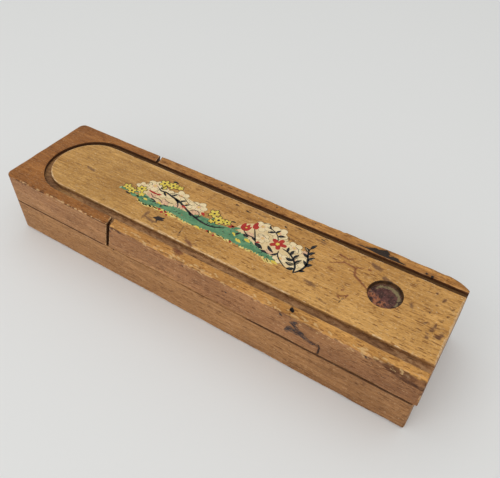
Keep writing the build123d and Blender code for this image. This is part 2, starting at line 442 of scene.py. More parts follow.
def wood(name, top_a, top_b, side_a, side_b, seed, fleck=0.5, honey=(196, 142, 84), pale=(222, 184, 140),
         extra=None, rough=0.5, dirt=0.5, contrast=1.0, rubbed=0.80, fade=None, left=None, right=None):
    """Old varnished beech with its grain along X: bands, streaks, dark ray flecks, pores, handling dirt, rubbed edges
    (wear, on the lid's raised field partly a painted highlight), packed grime together with painted shade in grooves,
    recesses and joints, ink, scratches, smudges and bare chips. Tops and sides take separate colours, partly as painted
    light and shade."""
    g = Graph(name)
    o = (seed * 7.13, seed * 3.71, seed * 5.37)
    up = g.attr("up")
    wear_and_highlight = g.attr("wear_and_highlight")
    grime_and_shade = g.attr("grime_and_shade")

    warp = g.vmath("SCALE", g.vmath("SUBTRACT", g.noise(g.stretch(0.02, 0.06, 0.06, o), 2.0, 0.5, 0, True), (0.5, 0.5, 0.5)), scale=2.2)
    q = g.vmath("ADD", g.p, warp)
    broad = g.noise(g.stretch(0.009, 0.085, 0.085, o, q), 3.0, 0.55)
    cloud = g.noise(g.stretch(0.045, 0.075, 0.075, (o[2], o[0], o[1])), 4.0, 0.6)
    streak = g.noise(g.stretch(0.040, 0.80, 0.80, o, q), 5.0, 0.66)
    fine = g.noise(g.stretch(0.22, 2.4, 2.4, (o[1], o[2], o[0]), q), 3.0, 0.6)
    dash_gate = g.noise(g.stretch(0.04, 0.08, 0.08, (3.1, o[0], 9.7)), 2.0, 0.5)
    jit = g.vmath("SCALE", g.vmath("SUBTRACT", g.noise(g.stretch(0.5, 0.9, 0.9, (7.1, o[1], 2.0)), 2.0, 0.5, 0, True), (0.5, 0.5, 0.5)), scale=0.45)
    qd = g.vmath("ADD", q, jit)
    dash = None
    for cx, cy, r0, off in ((4.6, 0.86, 0.340, 0.0), (3.0, 0.70, 0.320, 4.4), (8.0, 1.15, 0.270, 9.2)):
        dist, cell = g.voronoi(g.stretch(1 / cx, 1 / cy, 1 / cy, (o[2] + off, o[1], o[0] - off), qd), 1.0)
        sep = g.t.nodes.new("ShaderNodeSeparateColor")
        g.put(sep.inputs[0], cell)
        size = g.add(g.mul(g.m("SUBTRACT", sep.outputs[0], 0.45), 0.34), r0 - 0.16, g.mul(g.m("SUBTRACT", dash_gate, 0.5), 0.30))
        one = g.mul(g.band(g.m("SUBTRACT", size, dist), 0.0, 0.05), g.add(0.40, g.mul(sep.outputs[1], 0.60)))
        dash = one if dash is None else g.m("MAXIMUM", dash, one)
    pore = g.band(g.noise(g.stretch(0.80, 3.6, 3.6, (o[0], 1.7, o[2]), q), 1.0, 0.4), 0.56, 0.70)
    ray = g.band(g.noise(g.stretch(0.60, 2.2, 2.2, (1.7, o[0], o[2]), q), 1.0, 0.4), 0.58, 0.70)

    # tops and sides take separate colour pairs by facing: lit and shaded copies of one wood, partly painted light from
    # above and painted shade on the sides, partly worn finish
    top = g.mix(g.band(broad, 0.30, 0.70), srgb(*top_a), srgb(*top_b))
    side = g.mix(g.band(broad, 0.30, 0.70), srgb(*side_a), srgb(*side_b))
    col = g.mix(g.band(up, 0.35, 0.75), side, top)
    tone = g.band(streak, 0.25, 0.75, 1.0 - 0.26 * contrast, 1.0 + 0.24 * contrast, smooth=False)
    tone = g.mul(tone, g.band(fine, 0.25, 0.75, 1.0 - 0.18 * contrast, 1.0 + 0.17 * contrast, smooth=False))
    tone = g.mul(tone, g.band(cloud, 0.28, 0.74, 0.85, 1.13, smooth=False))
    comb = g.t.nodes.new("ShaderNodeCombineColor")
    for s, k in zip(comb.inputs[:3], (1.0, 1.22, 1.60)):
        g.put(s, g.m("POWER", tone, k))
    col = g.mix(1.0, col, comb.outputs[0], "MULTIPLY")
    if left:
        col = g.mix(g.band(g.x, left[1], left[0]), col, left[2], "MULTIPLY")
    # side faces darkened towards the right end: painted shade
    if right:
        col = g.mix(g.mul(g.band(g.x, right[0], right[1]), g.inv(g.band(up, 0.35, 0.75))), col, right[2], "MULTIPLY")
    col = g.mix(g.mul(ray, 0.30), col, g.mix(0.5, col, srgb(*pale)))
    if fade:
        dash = g.mul(dash, g.band(g.x, fade[0], fade[1], fade[2], 1.0))
    col = g.mix(g.mul(dash, fleck), col, (0.32, 0.19, 0.12, 1), "MULTIPLY")
    col = g.mix(g.mul(pore, 0.40), col, (0.55, 0.44, 0.34, 1), "MULTIPLY")

    # handling dirt in soft patches, and small grey-brown specks
    patch = g.band(g.noise(g.stretch(0.10, 0.16, 0.16, (o[1], 4.4, o[0])), 5.0, 0.62), 0.52, 0.72)
    col = g.mix(g.mul(patch, dirt * 0.60), col, (0.62, 0.58, 0.56, 1), "MULTIPLY")
    speck = g.band(g.noise(g.stretch(0.62, 0.95, 0.95, (8.8, o[1], o[2])), 3.0, 0.6), 0.655, 0.71)
    col = g.mix(g.mul(speck, dirt * 0.85), col, (0.40, 0.32, 0.30, 1), "MULTIPLY")
    glint = g.band(g.noise(g.stretch(0.85, 1.3, 1.3, (o[2], 6.1, 2.2)), 2.0, 0.5), 0.64, 0.72)
    col = g.mix(g.mul(glint, 0.42), col, srgb(*pale))

    # rubbed edges: honey-coloured bare wood, with broken pale flecks and dirt caught beside them. On the lid's raised
    # field the pale edge is partly a painted highlight.
    edge_n = g.noise(g.stretch(0.30, 0.6, 0.6, (o[0], o[1], 3.3)), 4.0, 0.65)
    rub = g.band(g.add(wear_and_highlight, g.mul(g.m("SUBTRACT", edge_n, 0.5), 0.9)), 0.32, 0.62)
    rubcol = g.mix(g.band(g.noise(g.stretch(0.12, 0.8, 0.8, (1.2, o[2], o[0])), 3.0, 0.6), 0.35, 0.65), srgb(*honey),
                   srgb(int(honey[0] * 0.83), int(honey[1] * 0.80), int(honey[2] * 0.76)))
    rubcol = g.mix(g.mul(g.band(g.noise(g.stretch(0.20, 1.4, 1.4, (3.2, o[0], o[1])), 4.0, 0.62), 0.54, 0.64), 0.65), rubcol, srgb(*pale))
    rubcol = g.mix(g.mul(g.band(g.noise(g.stretch(0.16, 1.1, 1.1, (o[1], 5.2, 8.4)), 4.0, 0.64), 0.55, 0.66), 0.60), rubcol, (0.60, 0.45, 0.36, 1), "MULTIPLY")
    rubcol = g.mix(g.mul(dash, 0.5), rubcol, (0.6, 0.45, 0.35, 1), "MULTIPLY")
    col = g.mix(g.mul(rub, rubbed), col, rubcol)
    # a broken pale line round the rubbed patches where the varnish has flaked
    we = g.add(wear_and_highlight, g.mul(g.m("SUBTRACT", edge_n, 0.5), 0.9))
    lip = g.mul(g.band(we, 0.24, 0.34), g.band(we, 0.56, 0.44), g.band(g.noise(g.stretch(0.16, 0.3, 0.3, (o[2], 8.8, 1.9)), 3.0, 0.6), 0.47, 0.58))
    col = g.mix(g.mul(lip, 0.62), col, srgb(*pale))
    chipn = g.noise(g.stretch(0.9, 1.3, 1.3, (5.5, o[0], o[1])), 3.0, 0.6)
    flake = g.mul(g.band(chipn, 0.60, 0.67), g.band(wear_and_highlight, 0.55, 0.9))
    col = g.mix(g.mul(flake, 0.75), col, srgb(*pale))
    # packed dirt and painted shade in grooves, recesses and joints: dark brown, darkest where deepest
    gm = g.band(g.add(grime_and_shade, g.mul(g.m("SUBTRACT", g.noise(g.stretch(0.55, 0.9, 0.9, (2.2, o[1], 7.7)), 4.0, 0.65), 0.5), 0.75)), 0.30, 0.78)
    gn = g.noise(g.stretch(0.35, 0.8, 0.8, (6.6, o[2], 1.4)), 4.0, 0.62)
    gcol = g.mix(g.band(gn, 0.36, 0.64), srgb(66, 32, 14), srgb(102, 62, 36))
    gdeep = g.band(grime_and_shade, 0.80, 1.0)
    gcol = g.mix(g.mul(gdeep, 0.75), gcol, srgb(44, 18, 7))
    col = g.mix(g.mul(gm, 0.86), col, gcol)

    dust = g.attr("dust")
    dn = g.noise(g.stretch(0.28, 0.75, 0.75, (o[1], 3.9, 2.7)), 5.0, 0.66)
    dcol = g.mix(g.band(dn, 0.34, 0.62), srgb(128, 86, 54), srgb(178, 134, 94))
    dcol = g.mix(g.mul(g.band(g.noise(g.stretch(0.7, 1.2, 1.2, (1.1, o[0], 7.7)), 3.0, 0.6), 0.60, 0.68), 0.7), dcol, srgb(196, 160, 118))
    dcol = g.mix(g.mul(g.band(g.noise(g.stretch(0.16, 0.9, 0.9, (9.1, o[2], 2.7)), 4.0, 0.62), 0.55, 0.68), 0.65), dcol, srgb(62, 38, 24))
    dcol = g.mix(g.mul(g.band(g.noise(g.stretch(0.05, 0.12, 0.12, (4.4, o[0], 6.7)), 3.0, 0.55), 0.46, 0.60), 0.45), dcol, srgb(92, 58, 38))
    col = g.mix(g.mul(dust, 0.92), col, dcol)

    bump_h = g.add(g.mul(ray, 0.2), g.mul(streak, 0.35), g.mul(fine, 0.35), g.mul(dash, -0.55), g.mul(pore, -0.30), g.mul(speck, -0.35),
                   g.mul(gm, -0.2), g.mul(flake, -0.5))
    r = g.add(rough, g.mul(g.m("SUBTRACT", cloud, 0.5), 0.22), g.mul(dash, 0.10), g.mul(rub, 0.10), g.mul(gm, 0.14))
    if extra:
        col, r, bump_h = extra(g, col, r, bump_h)
    g.put(g.bsdf.inputs["Base Color"], col)
    g.put(g.bsdf.inputs["Roughness"], g.m("MINIMUM", g.m("MAXIMUM", r, 0.18), 0.95))
    g.bsdf.inputs["Specular IOR Level"].default_value = 0.22
    g.put(g.bsdf.inputs["Normal"], g.bump(bump_h, 0.00022, 0.85))
    return g.mat


def blot(g, field, grit, lo, hi, cell=1.2, seed=0.0, stretch=(1, 1, 1)):
    """A stain's mask from a stored distance field in millimetres (positive inside), with a broken edge."""
    n = g.noise(g.stretch(stretch[0] / cell, stretch[1] / cell, stretch[2] / cell, (seed, seed * 1.7, seed * 0.3)), 4.0, 0.65)
    return g.band(g.add(field, g.mul(g.m("SUBTRACT", n, 0.5), grit)), lo, hi)


# =====================================================================
# marks: distance fields in millimetres, kept per vertex (positive inside)
# =====================================================================
def seg_field(A, B, pts, widths):
    """Largest (half width - distance) to a polyline over points with coordinates A, B."""
    best = np.full(A.shape, -9.0)
    if len(pts) == 1:
        pts, widths = pts * 2, widths * 2
    for (a0, b0), (a1, b1), w0, w1 in zip(pts, pts[1:], widths, widths[1:]):
        da, db = a1 - a0, b1 - b0
        L = da * da + db * db
        t = np.clip(((A - a0) * da + (B - b0) * db) / L, 0, 1) if L > 1e-9 else np.zeros_like(A)
        d = np.hypot(A - a0 - t * da, B - b0 - t * db)
        best = np.maximum(best, (w0 + (w1 - w0) * t) - d)
    return best


def field(A, B, lines, where=None):
    f = np.full(A.shape, -9.0)
    for pts, widths in lines:
        if not isinstance(widths, (list, tuple)):
            widths = [widths] * len(pts)
        f = np.maximum(f, seg_field(A, B, pts, list(widths)))
    if where is not None:
        f = np.where(where, f, -9.0)
    return f


# =====================================================================
# the worn wood pieces
# =====================================================================
def near(edge, offs, sign):
    return [edge + sign * d for d in offs]


EDGE = [0.2, 0.45, 0.75, 1.1, 1.6, 2.2, 3.0, 4.0]


def cut_x(y, z):
    return -47.5 - 0.242 * y - 0.247 * (35.3 - z)


# ---------------------------------------------------------------- tray
tray = Piece(
    "swing_tray",
    steps(-57.0, 111.0, 0.64) + [109.3, 109.7, 109.9],
    near(-27.25, EDGE, 1) + near(27.25, EDGE, -1) + near(-22.1, [0.2, 0.45, 0.8], -1) + near(22.1, [0.2, 0.45, 0.8], 1)
    + steps(-19, 19, 2.0),
    near(35.3, [0.2, 0.45, 0.75, 1.1, 1.6, 2.2, 3.0], -1) + steps(19.9, 31.9, 0.75),
)
X, Y, Z = tray.P0.T
nx, ny, nz = tray.N.T
n_a = line_noise(X, 7.0, 11)
n_b = line_noise(X, 2.1, 12)
n_c = line_noise(X, 21.0, 13)

# front top edge: heavily rubbed, scalloped, broken down towards the right end
h = 0.16 + 0.75 * np.clip(n_c * 0.55 + n_a * 0.55 - 0.28, 0, 1) + 0.40 * (n_b - 0.40).clip(0)
h = np.maximum(h, tray.chips(X, 21, 40, -52, 108, (0.9, 3.6), (0.25, 0.80)))
h += 1.35 * smooth01((X - 91.0) / 17.0)
h += 0.45 * smooth01((-38.0 - X) / 8.0)
h += 0.9 * np.exp(-((X + 6.0) / 3.2) ** 2)
u, v = Y + 27.25, 35.3 - Z
tray.arris(u, v, unit(0, 1, 0), unit(0, 0, -1), X, h, crown=0.18, reach=6.0)
# the foot of the bevel on the side face carries dirt, in patches
side_top = smooth01((1.9 - (35.3 - Z)) / 1.2) * (Y < -26.9)
tray.grime_and_shade = np.maximum(tray.grime_and_shade, 0.55 * side_top * smooth01((line_noise(X, 5.0, 14) - 0.42) / 0.2))
# big dirty rubbed patch at the right end of the front edge
low = 34.2 - 4.3 * smooth01((X - 88.0) / 16.0)
patch = smooth01((Z - low + 0.8) / 1.6) * smooth01((X - 86.0) / 6.0) * smooth01((-25.6 - Y) / 0.8)
patch *= 0.40 + 0.50 * vnoise(tray.P0, (3.2, 3, 1.5), 27)
tray.grime_and_shade = np.maximum(tray.grime_and_shade, patch)
tray.wear_and_highlight *= 1 - 0.75 * smooth01((X - 88.0) / 8.0) * (Y < -26.2)
left = np.exp(-(((X + 36.0) / 5.5) ** 2 + ((Z - 34.3) / 1.0) ** 2)) * (Y < -24.2)
tray.grime_and_shade = np.maximum(tray.grime_and_shade, 0.8 * left)
tray.wear_and_highlight *= 1 - 0.8 * np.exp(-(((X + 38.5) / 4.5) ** 2 + ((Z - 34.0) / 0.9) ** 2)) * (Y < -26.0)

# back top edge
h = 0.20 + 0.55 * np.clip(line_noise(X, 11.0, 15) - 0.25, 0, 1) + 0.3 * (line_noise(X, 2.6, 16) - 0.4).clip(0)
h = np.maximum(h, tray.chips(X, 22, 16, -44, 92, (1.0, 3.5), (0.3, 0.7)))
tray.arris(27.25 - Y, 35.3 - Z, unit(0, -1, 0), unit(0, 0, -1), X, h, crown=0.2)
tray.wear_and_highlight = np.where((Y > 26) & (Z > 34), np.minimum(tray.wear_and_highlight, 0.35), tray.wear_and_highlight)

# inner lip edges beside the lid
lip_h = 0.10 + 0.22 * np.clip(line_noise(X, 9.0, 17) - 0.3, 0, 1) + 0.15 * (line_noise(X, 1.9, 18) - 0.5).clip(0)
tray.arris(-22.1 - Y, 35.3 - Z, unit(0, -1, 0), unit(0, 0, -1), X, lip_h + 0.06, crown=0.2, reach=1.5,
           mask=(Y < -20) & (Z > 33.6))
tray.arris(Y - 22.1, 35.3 - Z, unit(0, 1, 0), unit(0, 0, -1), X, lip_h, crown=0.2, reach=1.5,
           mask=(Y > 20) & (Z > 33.6))

# right end: top edge and the front upright
s_end = Y
h = 0.16 + 0.35 * np.clip(line_noise(s_end, 3.0, 19) - 0.3, 0, 1)
tray.arris(110.0 - X, 35.3 - Z, unit(-1, 0, 0), unit(0, 0, -1), s_end, h, crown=0.2, reach=2.5, mask=(X > 106))
h = 0.18 + 0.4 * np.clip(line_noise(Z, 4.0, 20) - 0.3, 0, 1)
tray.arris(110.0 - X, Y + 27.25, unit(-1, 0, 0), unit(0, 1, 0), Z, h, crown=0.2, reach=2.5, mask=(X > 106) & (Y < -24))
# bottom front edge
h = 0.05 + 0.18 * line_noise(X, 6.0, 23)
h += 0.25 * smooth01((line_noise(X, 17.0, 24) - 0.62) / 0.1)
h += 0.30 * smooth01((X - 36.0) / 6.0)
tray.arris(Y + 27.25, Z - 19.4, unit(0, 1, 0), unit(0, 0, 1), X, h, crown=0.2, reach=1.5)
tray.wear_and_highlight = np.where(Z < 21, 0.0, tray.wear_and_highlight)
# the slanted face beside the end block: its upright edge and its top edge
front_cut = (X - cut_x(Y, Z) < 5.0)
u = (X - 1.2 - cut_x(-27.25, Z)) * 0.97
h = 0.16 + 0.28 * line_noise(Z, 2.5, 25)
tray.arris(u, Y + 27.25, unit(1, 0.24, 0), unit(0, 1, 0), Z, h, crown=0.2, reach=2.0, mask=(Y < -24) & front_cut)
u = (X - 1.2 - cut_x(Y, 35.3)) * 0.97
h = 0.22 + 0.40 * line_noise(Y, 1.7, 26)
tray.arris(u, 35.3 - Z, unit(1, 0.24, 0), unit(0, 0, -1), Y, h, crown=0.2, reach=2.2, mask=(np.abs(Y) > 21.9) & (Z > 33))

# slow unevenness of the outer faces
outer = ((ny < -0.6) & (Y < -26.9) & (Z > 20.2)) | ((ny > 0.6) & (Y > 26.9) & (Z > 20.2))
und = vnoise(tray.P0, (16, 9, 5), 31) * 0.10 + vnoise(tray.P0, (3.0, 3.0, 1.6), 32) * 0.035
tray.P -= tray.N * (und * outer)[:, None]
tops = (nz > 0.7) & (Z > 35.0)
und = vnoise(tray.P0, (9, 3, 5), 33) * 0.14 + vnoise(tray.P0, (2.2, 0.9, 2), 34) * 0.07
tray.P[:, 2] -= und * tops

# small hole with a torn rim in the front rail, blotch hollow on the back rail, dents
rail = (Z > 33.4).astype(float)
tray.dent((54.3, -23.9), (1.3, 0.95), 1.15, angle=-15, grime_and_shade=1.0, face=rail, sharp=0.8)
tray.dent((55.6, -24.9), (1.5, 0.8), 0.45, angle=20, face=rail)
for cx, cy, rx, ry, dp in ((-40.5, -24.0, 2.2, 1.0, 0.3), (12.0, -25.6, 3.0, 0.9, 0.5), (33.0, -24.9, 4.0, 1.1, 0.45),
                           (79.0, -24.5, 3.2, 1.0, 0.4), (88.0, 24.6, 2.6, 0.9, 0.45), (70.5, 25.9, 3.6, 1.0, 0.5),
                           (-20.0, 25.8, 2.5, 0.8, 0.4), (20.0, 25.9, 2.2, 0.8, 0.35), (101.0, 24.2, 2.2, 1.2, 0.5),
                           (44.5, 25.2, 1.6, 0.7, 0.3), (104.5, -24.6, 2.8, 1.2, 0.5)):
    tray.dent((cx, cy), (rx, ry), dp, face=rail)
front_face = (Y < -24.0).astype(float)
# crack on the front face under the ink stain
crack = field(X, Z, [([(65.8, 25.6), (68.4, 25.7), (69.0, 24.1), (68.6, 21.5), (68.2, 19.2)], [0.42, 0.40, 0.40, 0.34, 0.34])],
              where=(Y < -26.5))
cw = smooth01((crack + 0.15) / 0.35)
tray.P[:, 1] += 0.55 * cw * (Y < -26.5)
gouges = field(X, Z, [([(55.0, 30.8), (57.8, 31.8)], 0.5), ([(57.0, 27.2), (60.4, 28.2)], 0.6), ([(2.0, 33.0), (2.6, 32.4)], 0.4),
                      ([(24.0, 29.6), (24.8, 29.5)], 0.45), ([(-32.5, 28.2), (-31.9, 27.9)], 0.35),
                      ([(80.0, 24.8), (84.0, 24.4)], 0.3)], where=(Y < -26.5))
tray.P[:, 1] += 0.22 * smooth01((gouges + 0.3) / 0.6) * (Y < -26.5)

rail_top = (Z > 34.4) & (nz > -0.2)
back_rail = (Y > 21.5)
ink = field(X, Y, [
    ([(60.6, 23.5), (64.2, 23.55), (66.4, 23.5)], [0.28, 0.42, 0.62]),
    ([(66.4, 23.6), (69.0, 24.1), (71.6, 23.9), (74.2, 23.3)], [0.75, 1.45, 1.55, 0.95]),
    ([(70.6, 25.4), (72.8, 25.8), (74.6, 24.9)], [0.5, 0.75, 0.35]),
    ([(74.2, 23.2), (78.4, 22.9), (82.6, 22.7)], [0.8, 0.55, 0.22]),
    ([(76.0, 24.6), (79.0, 24.1)], [0.35, 0.2]),
], where=(Z > 33.6) & back_rail & (nz > -0.3))
front_ink = field(X, Z, [
    ([(54.0, 25.4), (55.3, 27.6), (57.0, 27.6)], [0.9, 1.25, 1.2]),
    ([(55.5, 31.1), (58.1, 33.0)], [0.55, 0.7]),
    ([(57.0, 31.0), (58.6, 29.6)], [0.7, 0.9]),
    ([(56.0, 27.4), (58.5, 26.9), (60.2, 27.6), (62.7, 26.1), (65.6, 25.0)], [1.5, 1.3, 1.45, 1.15, 0.6]),
    ([(50.8, 33.6), (51.4, 33.2)], [0.5, 0.45]),
    ([(-41.4, 34.3), (-39.6, 34.1), (-38.2, 33.7)], [0.4, 0.62, 0.3]), ([(-41.4, 32.4), (-39.8, 31.8)], [0.4, 0.5]), ([(-34.6, 33.6), (-33.0, 33.2)], [0.35, 0.25]),
], where=(Y < -24.5))
black = np.maximum(ink, front_ink)
lines = [
    ([(66.0, 25.2), (68.4, 25.5), (69.0, 24.1), (68.6, 21.5), (68.2, 19.2)], [0.34, 0.34, 0.34, 0.32, 0.32]),
]
thin = field(X, Z, lines, where=(Y < -26.0))
hole = field(X, Y, [([(54.0, -23.6), (54.6, -24.0)], [0.75, 0.7])], where=(Z > 33.0) & (Y < -22.0))
black = np.maximum(black, np.maximum(thin, hole))
for cx, cy, r in ((18.2, 24.8, 0.45), (-13.0, 24.2, 0.4), (2.5, 23.9, 0.3), (38.8, 25.0, 0.35), (92.0, 22.9, 0.5), (94.6, 22.6, 0.6),
                  (-4.5, 25.1, 0.3), (50.2, 23.2, 0.25)):
    black = np.maximum(black, field(X, Y, [([(cx, cy)], r)], where=(Z > 34) & back_rail))
for cx, cz, r in ((24.5, 29.6, 0.5), (2.2, 32.7, 0.45), (-31.0, 22.4, 0.35), (-18.5, 31.0, 0.35), (36.0, 24.2, 0.3),
                  (78.0, 30.2, 0.3), (-41.5, 32.6, 0.6), (87.5, 33.4, 0.5), (90.0, 31.8, 0.35), (97.0, 29.3, 0.3)):
    black = np.maximum(black, field(X, Z, [([(cx, cz)], r)], where=(Y < -26.0)))
purple = np.maximum(
    field(X, Y, [([(-5.2, -22.9), (-2.7, -22.8), (-0.6, -23.2)], [0.9, 1.30, 0.8]), ([(-3.0, -24.5), (-1.4, -24.3)], [0.85, 0.6])],
          where=(Z > 33.0) & (Y < -21)),
    field(X, Z, [([(-45.5, 31.0), (-43.0, 24.0)], [0.5, 0.3])], where=(Y < -26)))

# the faces at the joint between the tiers are darkened, most at the free end: packed dirt and painted shadow in the gap
seam = (Z < 19.80) & ((np.abs(Y) > 26.6) | (X > 109.3))
tray.grime_and_shade = np.maximum(tray.grime_and_shade, seam * (0.66 + 0.34 * smooth01((X - 30.0) / 10.0)))
# groove: floor, wall under the lip and pocket walls are dark with old dirt and painted shade, the wall under the lip
# darker the deeper it goes
groove = (np.abs(Y) > 19.0) & (np.abs(Y) < 24.9) & (Z > 30.8) & (Z < 33.95)
tray.dust = np.where(groove & (Z < 31.6), 0.8, tray.dust)
lip_side = (np.abs(Y) < 22.6) & (np.abs(Y) > 22.02) & (Z > 33.4) & (Z < 35.25)
tray.grime_and_shade = np.maximum(tray.grime_and_shade, 0.50 * groove * (Z > 31.6))
depth_f = np.where(lip_side, np.clip((35.35 - Z) / 0.8, 0, 1), 0.0)
tray.grime_and_shade = np.maximum(tray.grime_and_shade, 0.88 * depth_f)
cutface = (X - 1.2 - cut_x(Y, Z) < 0.35)
tray.grime_and_shade = np.maximum(tray.grime_and_shade, 0.85 * cutface)
rng = np.random.default_rng(97)
bare = np.full(X.shape, -9.0)
for _ in range(64):
    cx = rng.choice((rng.uniform(-46, 20), rng.uniform(8, 104), rng.uniform(40, 104)))
    cy, lx, w = rng.uniform(-27.0, -24.6), rng.uniform(0.3, 2.0), rng.uniform(0.22, 0.46)
    bare = np.maximum(bare, field(X, Y, [([(cx, cy), (cx + lx, cy + rng.uniform(-0.5, 0.3))], [w, w * 0.7])], where=(Z > 33.6)))
for _ in range(34):
    cx = rng.uniform(-44, 104)
    cz, lx, w = rng.uniform(32.6, 35.0), rng.uniform(0.2, 1.4), rng.uniform(0.20, 0.40)
    bare = np.maximum(bare, field(X, Z, [([(cx, cz), (cx + lx, cz - rng.uniform(-0.2, 0.5))], [w, w * 0.7])], where=(Y < -26.3)))
tray_fields = {"ink": black, "stain": purple, "bare": bare}

# ----------------------------------------------------------- end block
endb = Piece(
    "end_block",
    steps(-111.0, -38.0, 0.7) + near(-110.0, [0.2, 0.45, 0.8, 1.2], 1),
    near(-27.25, EDGE, 1) + near(27.25, EDGE, -1) + steps(-22, 22, 1.2),
    near(35.3, [0.2, 0.45, 0.75, 1.1, 1.6, 2.2, 3.0], -1) + steps(19.9, 31.9, 0.9),
)
X, Y, Z = endb.P0.T
nx, ny, nz = endb.N.T
h = 0.12 + 0.26 * np.clip(line_noise(X, 8.0, 41) - 0.25, 0, 1) + 0.35 * (line_noise(X, 1.7, 42) - 0.45).clip(0)
h = np.maximum(h, endb.chips(X, 43, 40, -106, -44, (0.4, 1.3), (0.10, 0.32)))
for c, w, d in ((-79.6, 2.0, 0.55), (-86.0, 1.4, 0.45), (-69.4, 1.8, 0.5), (-57.2, 1.6, 0.5), (-98.0, 2.6, 0.5)):
    k = (X - c) / w * 2
    h = np.maximum(h, d * np.clip(1 - k * k, 0, None) ** 0.7)
endb.arris(Y + 27.25, 35.3 - Z, unit(0, 1, 0), unit(0, 0, -1), X, h, crown=0.2, reach=3.0, mask=(X > -107))
bare = np.zeros_like(X)
for c, w in ((-79.6, 1.1), (-86.4, 0.8), (-69.4, 1.1), (-58.0, 0.9), (-99.0, 1.2), (-74.8, 0.5), (-63.4, 0.5), (-92.5, 0.5)):
    bare = np.maximum(bare, 0.55 * smooth01(1.3 - np.abs(X - c) / (0.6 * w)) * (Y < -26.6) * (Z > 34.7))
bare = np.maximum(bare, 0.9 * smooth01((line_noise(X, 0.9, 145) - 0.60) / 0.08) * smooth01((line_noise(X, 9.0, 146) - 0.40) / 0.12) * (Y < -26.7) * (Z > 34.85))
dirt_line = np.exp(-((35.3 - Z - 0.45) / 0.42) ** 2) * (Y < -26.3) * smooth01((line_noise(X, 4.2, 44) - 0.26) / 0.16)
endb.grime_and_shade = np.maximum(endb.grime_and_shade, 0.95 * dirt_line * (1 - bare))
endb.grime_and_shade = np.maximum(endb.grime_and_shade, 0.6 * np.exp(-((Y + 26.4) / 0.7) ** 2) * (Z > 35.0) * smooth01((line_noise(X, 3.1, 45) - 0.5) / 0.15) * (1 - bare))
endb.wear_and_highlight = np.minimum(endb.wear_and_highlight, 0.32)
endb.wear_and_highlight = np.maximum(endb.wear_and_highlight, bare)
h = 0.18 + 0.30 * line_noise(X, 7.0, 46) + 0.2 * (line_noise(X, 1.9, 47) - 0.5).clip(0)
endb.arris(27.25 - Y, 35.3 - Z, unit(0, -1, 0), unit(0, 0, -1), X, h, crown=0.2, reach=3.0, mask=(X > -107))
h = 0.18 + 0.30 * line_noise(Y, 6.0, 48) + 0.2 * (line_noise(Y, 1.9, 49) - 0.5).clip(0)
endb.arris(X + 110.0, 35.3 - Z, unit(1, 0, 0), unit(0, 0, -1), Y, h, crown=0.2, reach=3.0, mask=(np.abs(Y) < 24.2))
h = 0.05 + 0.15 * line_noise(X, 6.0, 50)
endb.arris(Y + 27.25, Z - 19.1, unit(0, 1, 0), unit(0, 0, 1), X, h, crown=0.2, reach=1.5)
# edges of the slanted face
u = (cut_x(Y, Z) - X) * 0.97
h = 0.16 + 0.25 * line_noise(Z, 2.5, 51)
endb.arris(u, Y + 27.25, unit(-1, 0, 0), unit(0, 1, 0), Z, h, crown=0.2, reach=2.0, mask=(Y < -24))
h = 0.20 + 0.35 * line_noise(Y, 1.7, 52)
endb.arris(u, 35.3 - Z, unit(-1, 0, 0), unit(0, 0, -1), Y, h, crown=0.2, reach=2.2, mask=(np.abs(Y) > 21.9) & (Z > 33))
# rim of the arch
rr = np.hypot(np.minimum(X + 78.8, 0), Y) - 22.1
h = 0.12 + 0.20 * np.clip(line_noise(Y + X, 3.0, 53) - 0.3, 0, 1)
rad = np.stack([np.minimum(X + 78.8, 0), Y, np.zeros_like(X)], 1)
rad /= np.maximum(np.linalg.norm(rad, axis=1), 1e-6)[:, None]
t = (rr + 35.3 - Z) / math.sqrt(2)
m_ = (rr > -0.3) & (rr < 1.5) & (Z > 33.6) & (X < cut_x(Y, Z) + 0.2)
d = np.where(m_, np.clip(h - t, 0, None) * 0.8, 0)
endb.P += (rad - np.array([0, 0, 1.0])) * (d / math.sqrt(2))[:, None]
outer = (((ny < -0.6) & (Y < -26.9)) | ((ny > 0.6) & (Y > 26.9)) | ((nx < -0.6) & (X < -109.5))) & (Z > 20.4)
und = vnoise(endb.P0, (16, 9, 5), 54) * 0.10 + vnoise(endb.P0, (3.0, 3.0, 1.6), 55) * 0.035
endb.P -= endb.N * (und * outer)[:, None]
tops = (nz > 0.7) & (Z > 35.0)
und = vnoise(endb.P0, (12, 6, 5), 56) * 0.10 + vnoise(endb.P0, (2.4, 1.2, 2), 57) * 0.04
endb.P[:, 2] -= und * tops
for cx, cy, rx, ry, dp in ((-100.0, 12.0, 2.0, 1.0, 0.2), (-104.5, -10.0, 1.5, 1.0, 0.2), (-90.0, 24.6, 2.4, 0.9, 0.25),
                           (-60.0, -24.8, 2.4, 0.8, 0.25), (-71.0, 25.0, 2.0, 0.8, 0.25)):
    endb.dent((cx, cy), (rx, ry), dp, face=(Z > 34.6).astype(float))
# inside wall of the arch and the wall of its ledge: painted shade, darker down the wall; dust on the ledge floor
arch_r = np.hypot(np.minimum(X + 78.8, 0), Y)
wall = (arch_r < 22.6) & (arch_r > 22.0) & (Z > 33.3) & (Z < 35.25)
endb.grime_and_shade = np.maximum(endb.grime_and_shade, np.where(wall, 0.7 + 0.3 * np.clip((35.2 - Z) / 0.7, 0, 1), 0))
ledge = (arch_r > 16.4) & (arch_r < 25.1) & (Z > 30.8) & (Z < 33.95)
endb.grime_and_shade = np.maximum(endb.grime_and_shade, 0.50 * (ledge & (Z > 31.6)))
endb.dust = np.where(ledge & (Z < 31.6), 0.8, endb.dust)
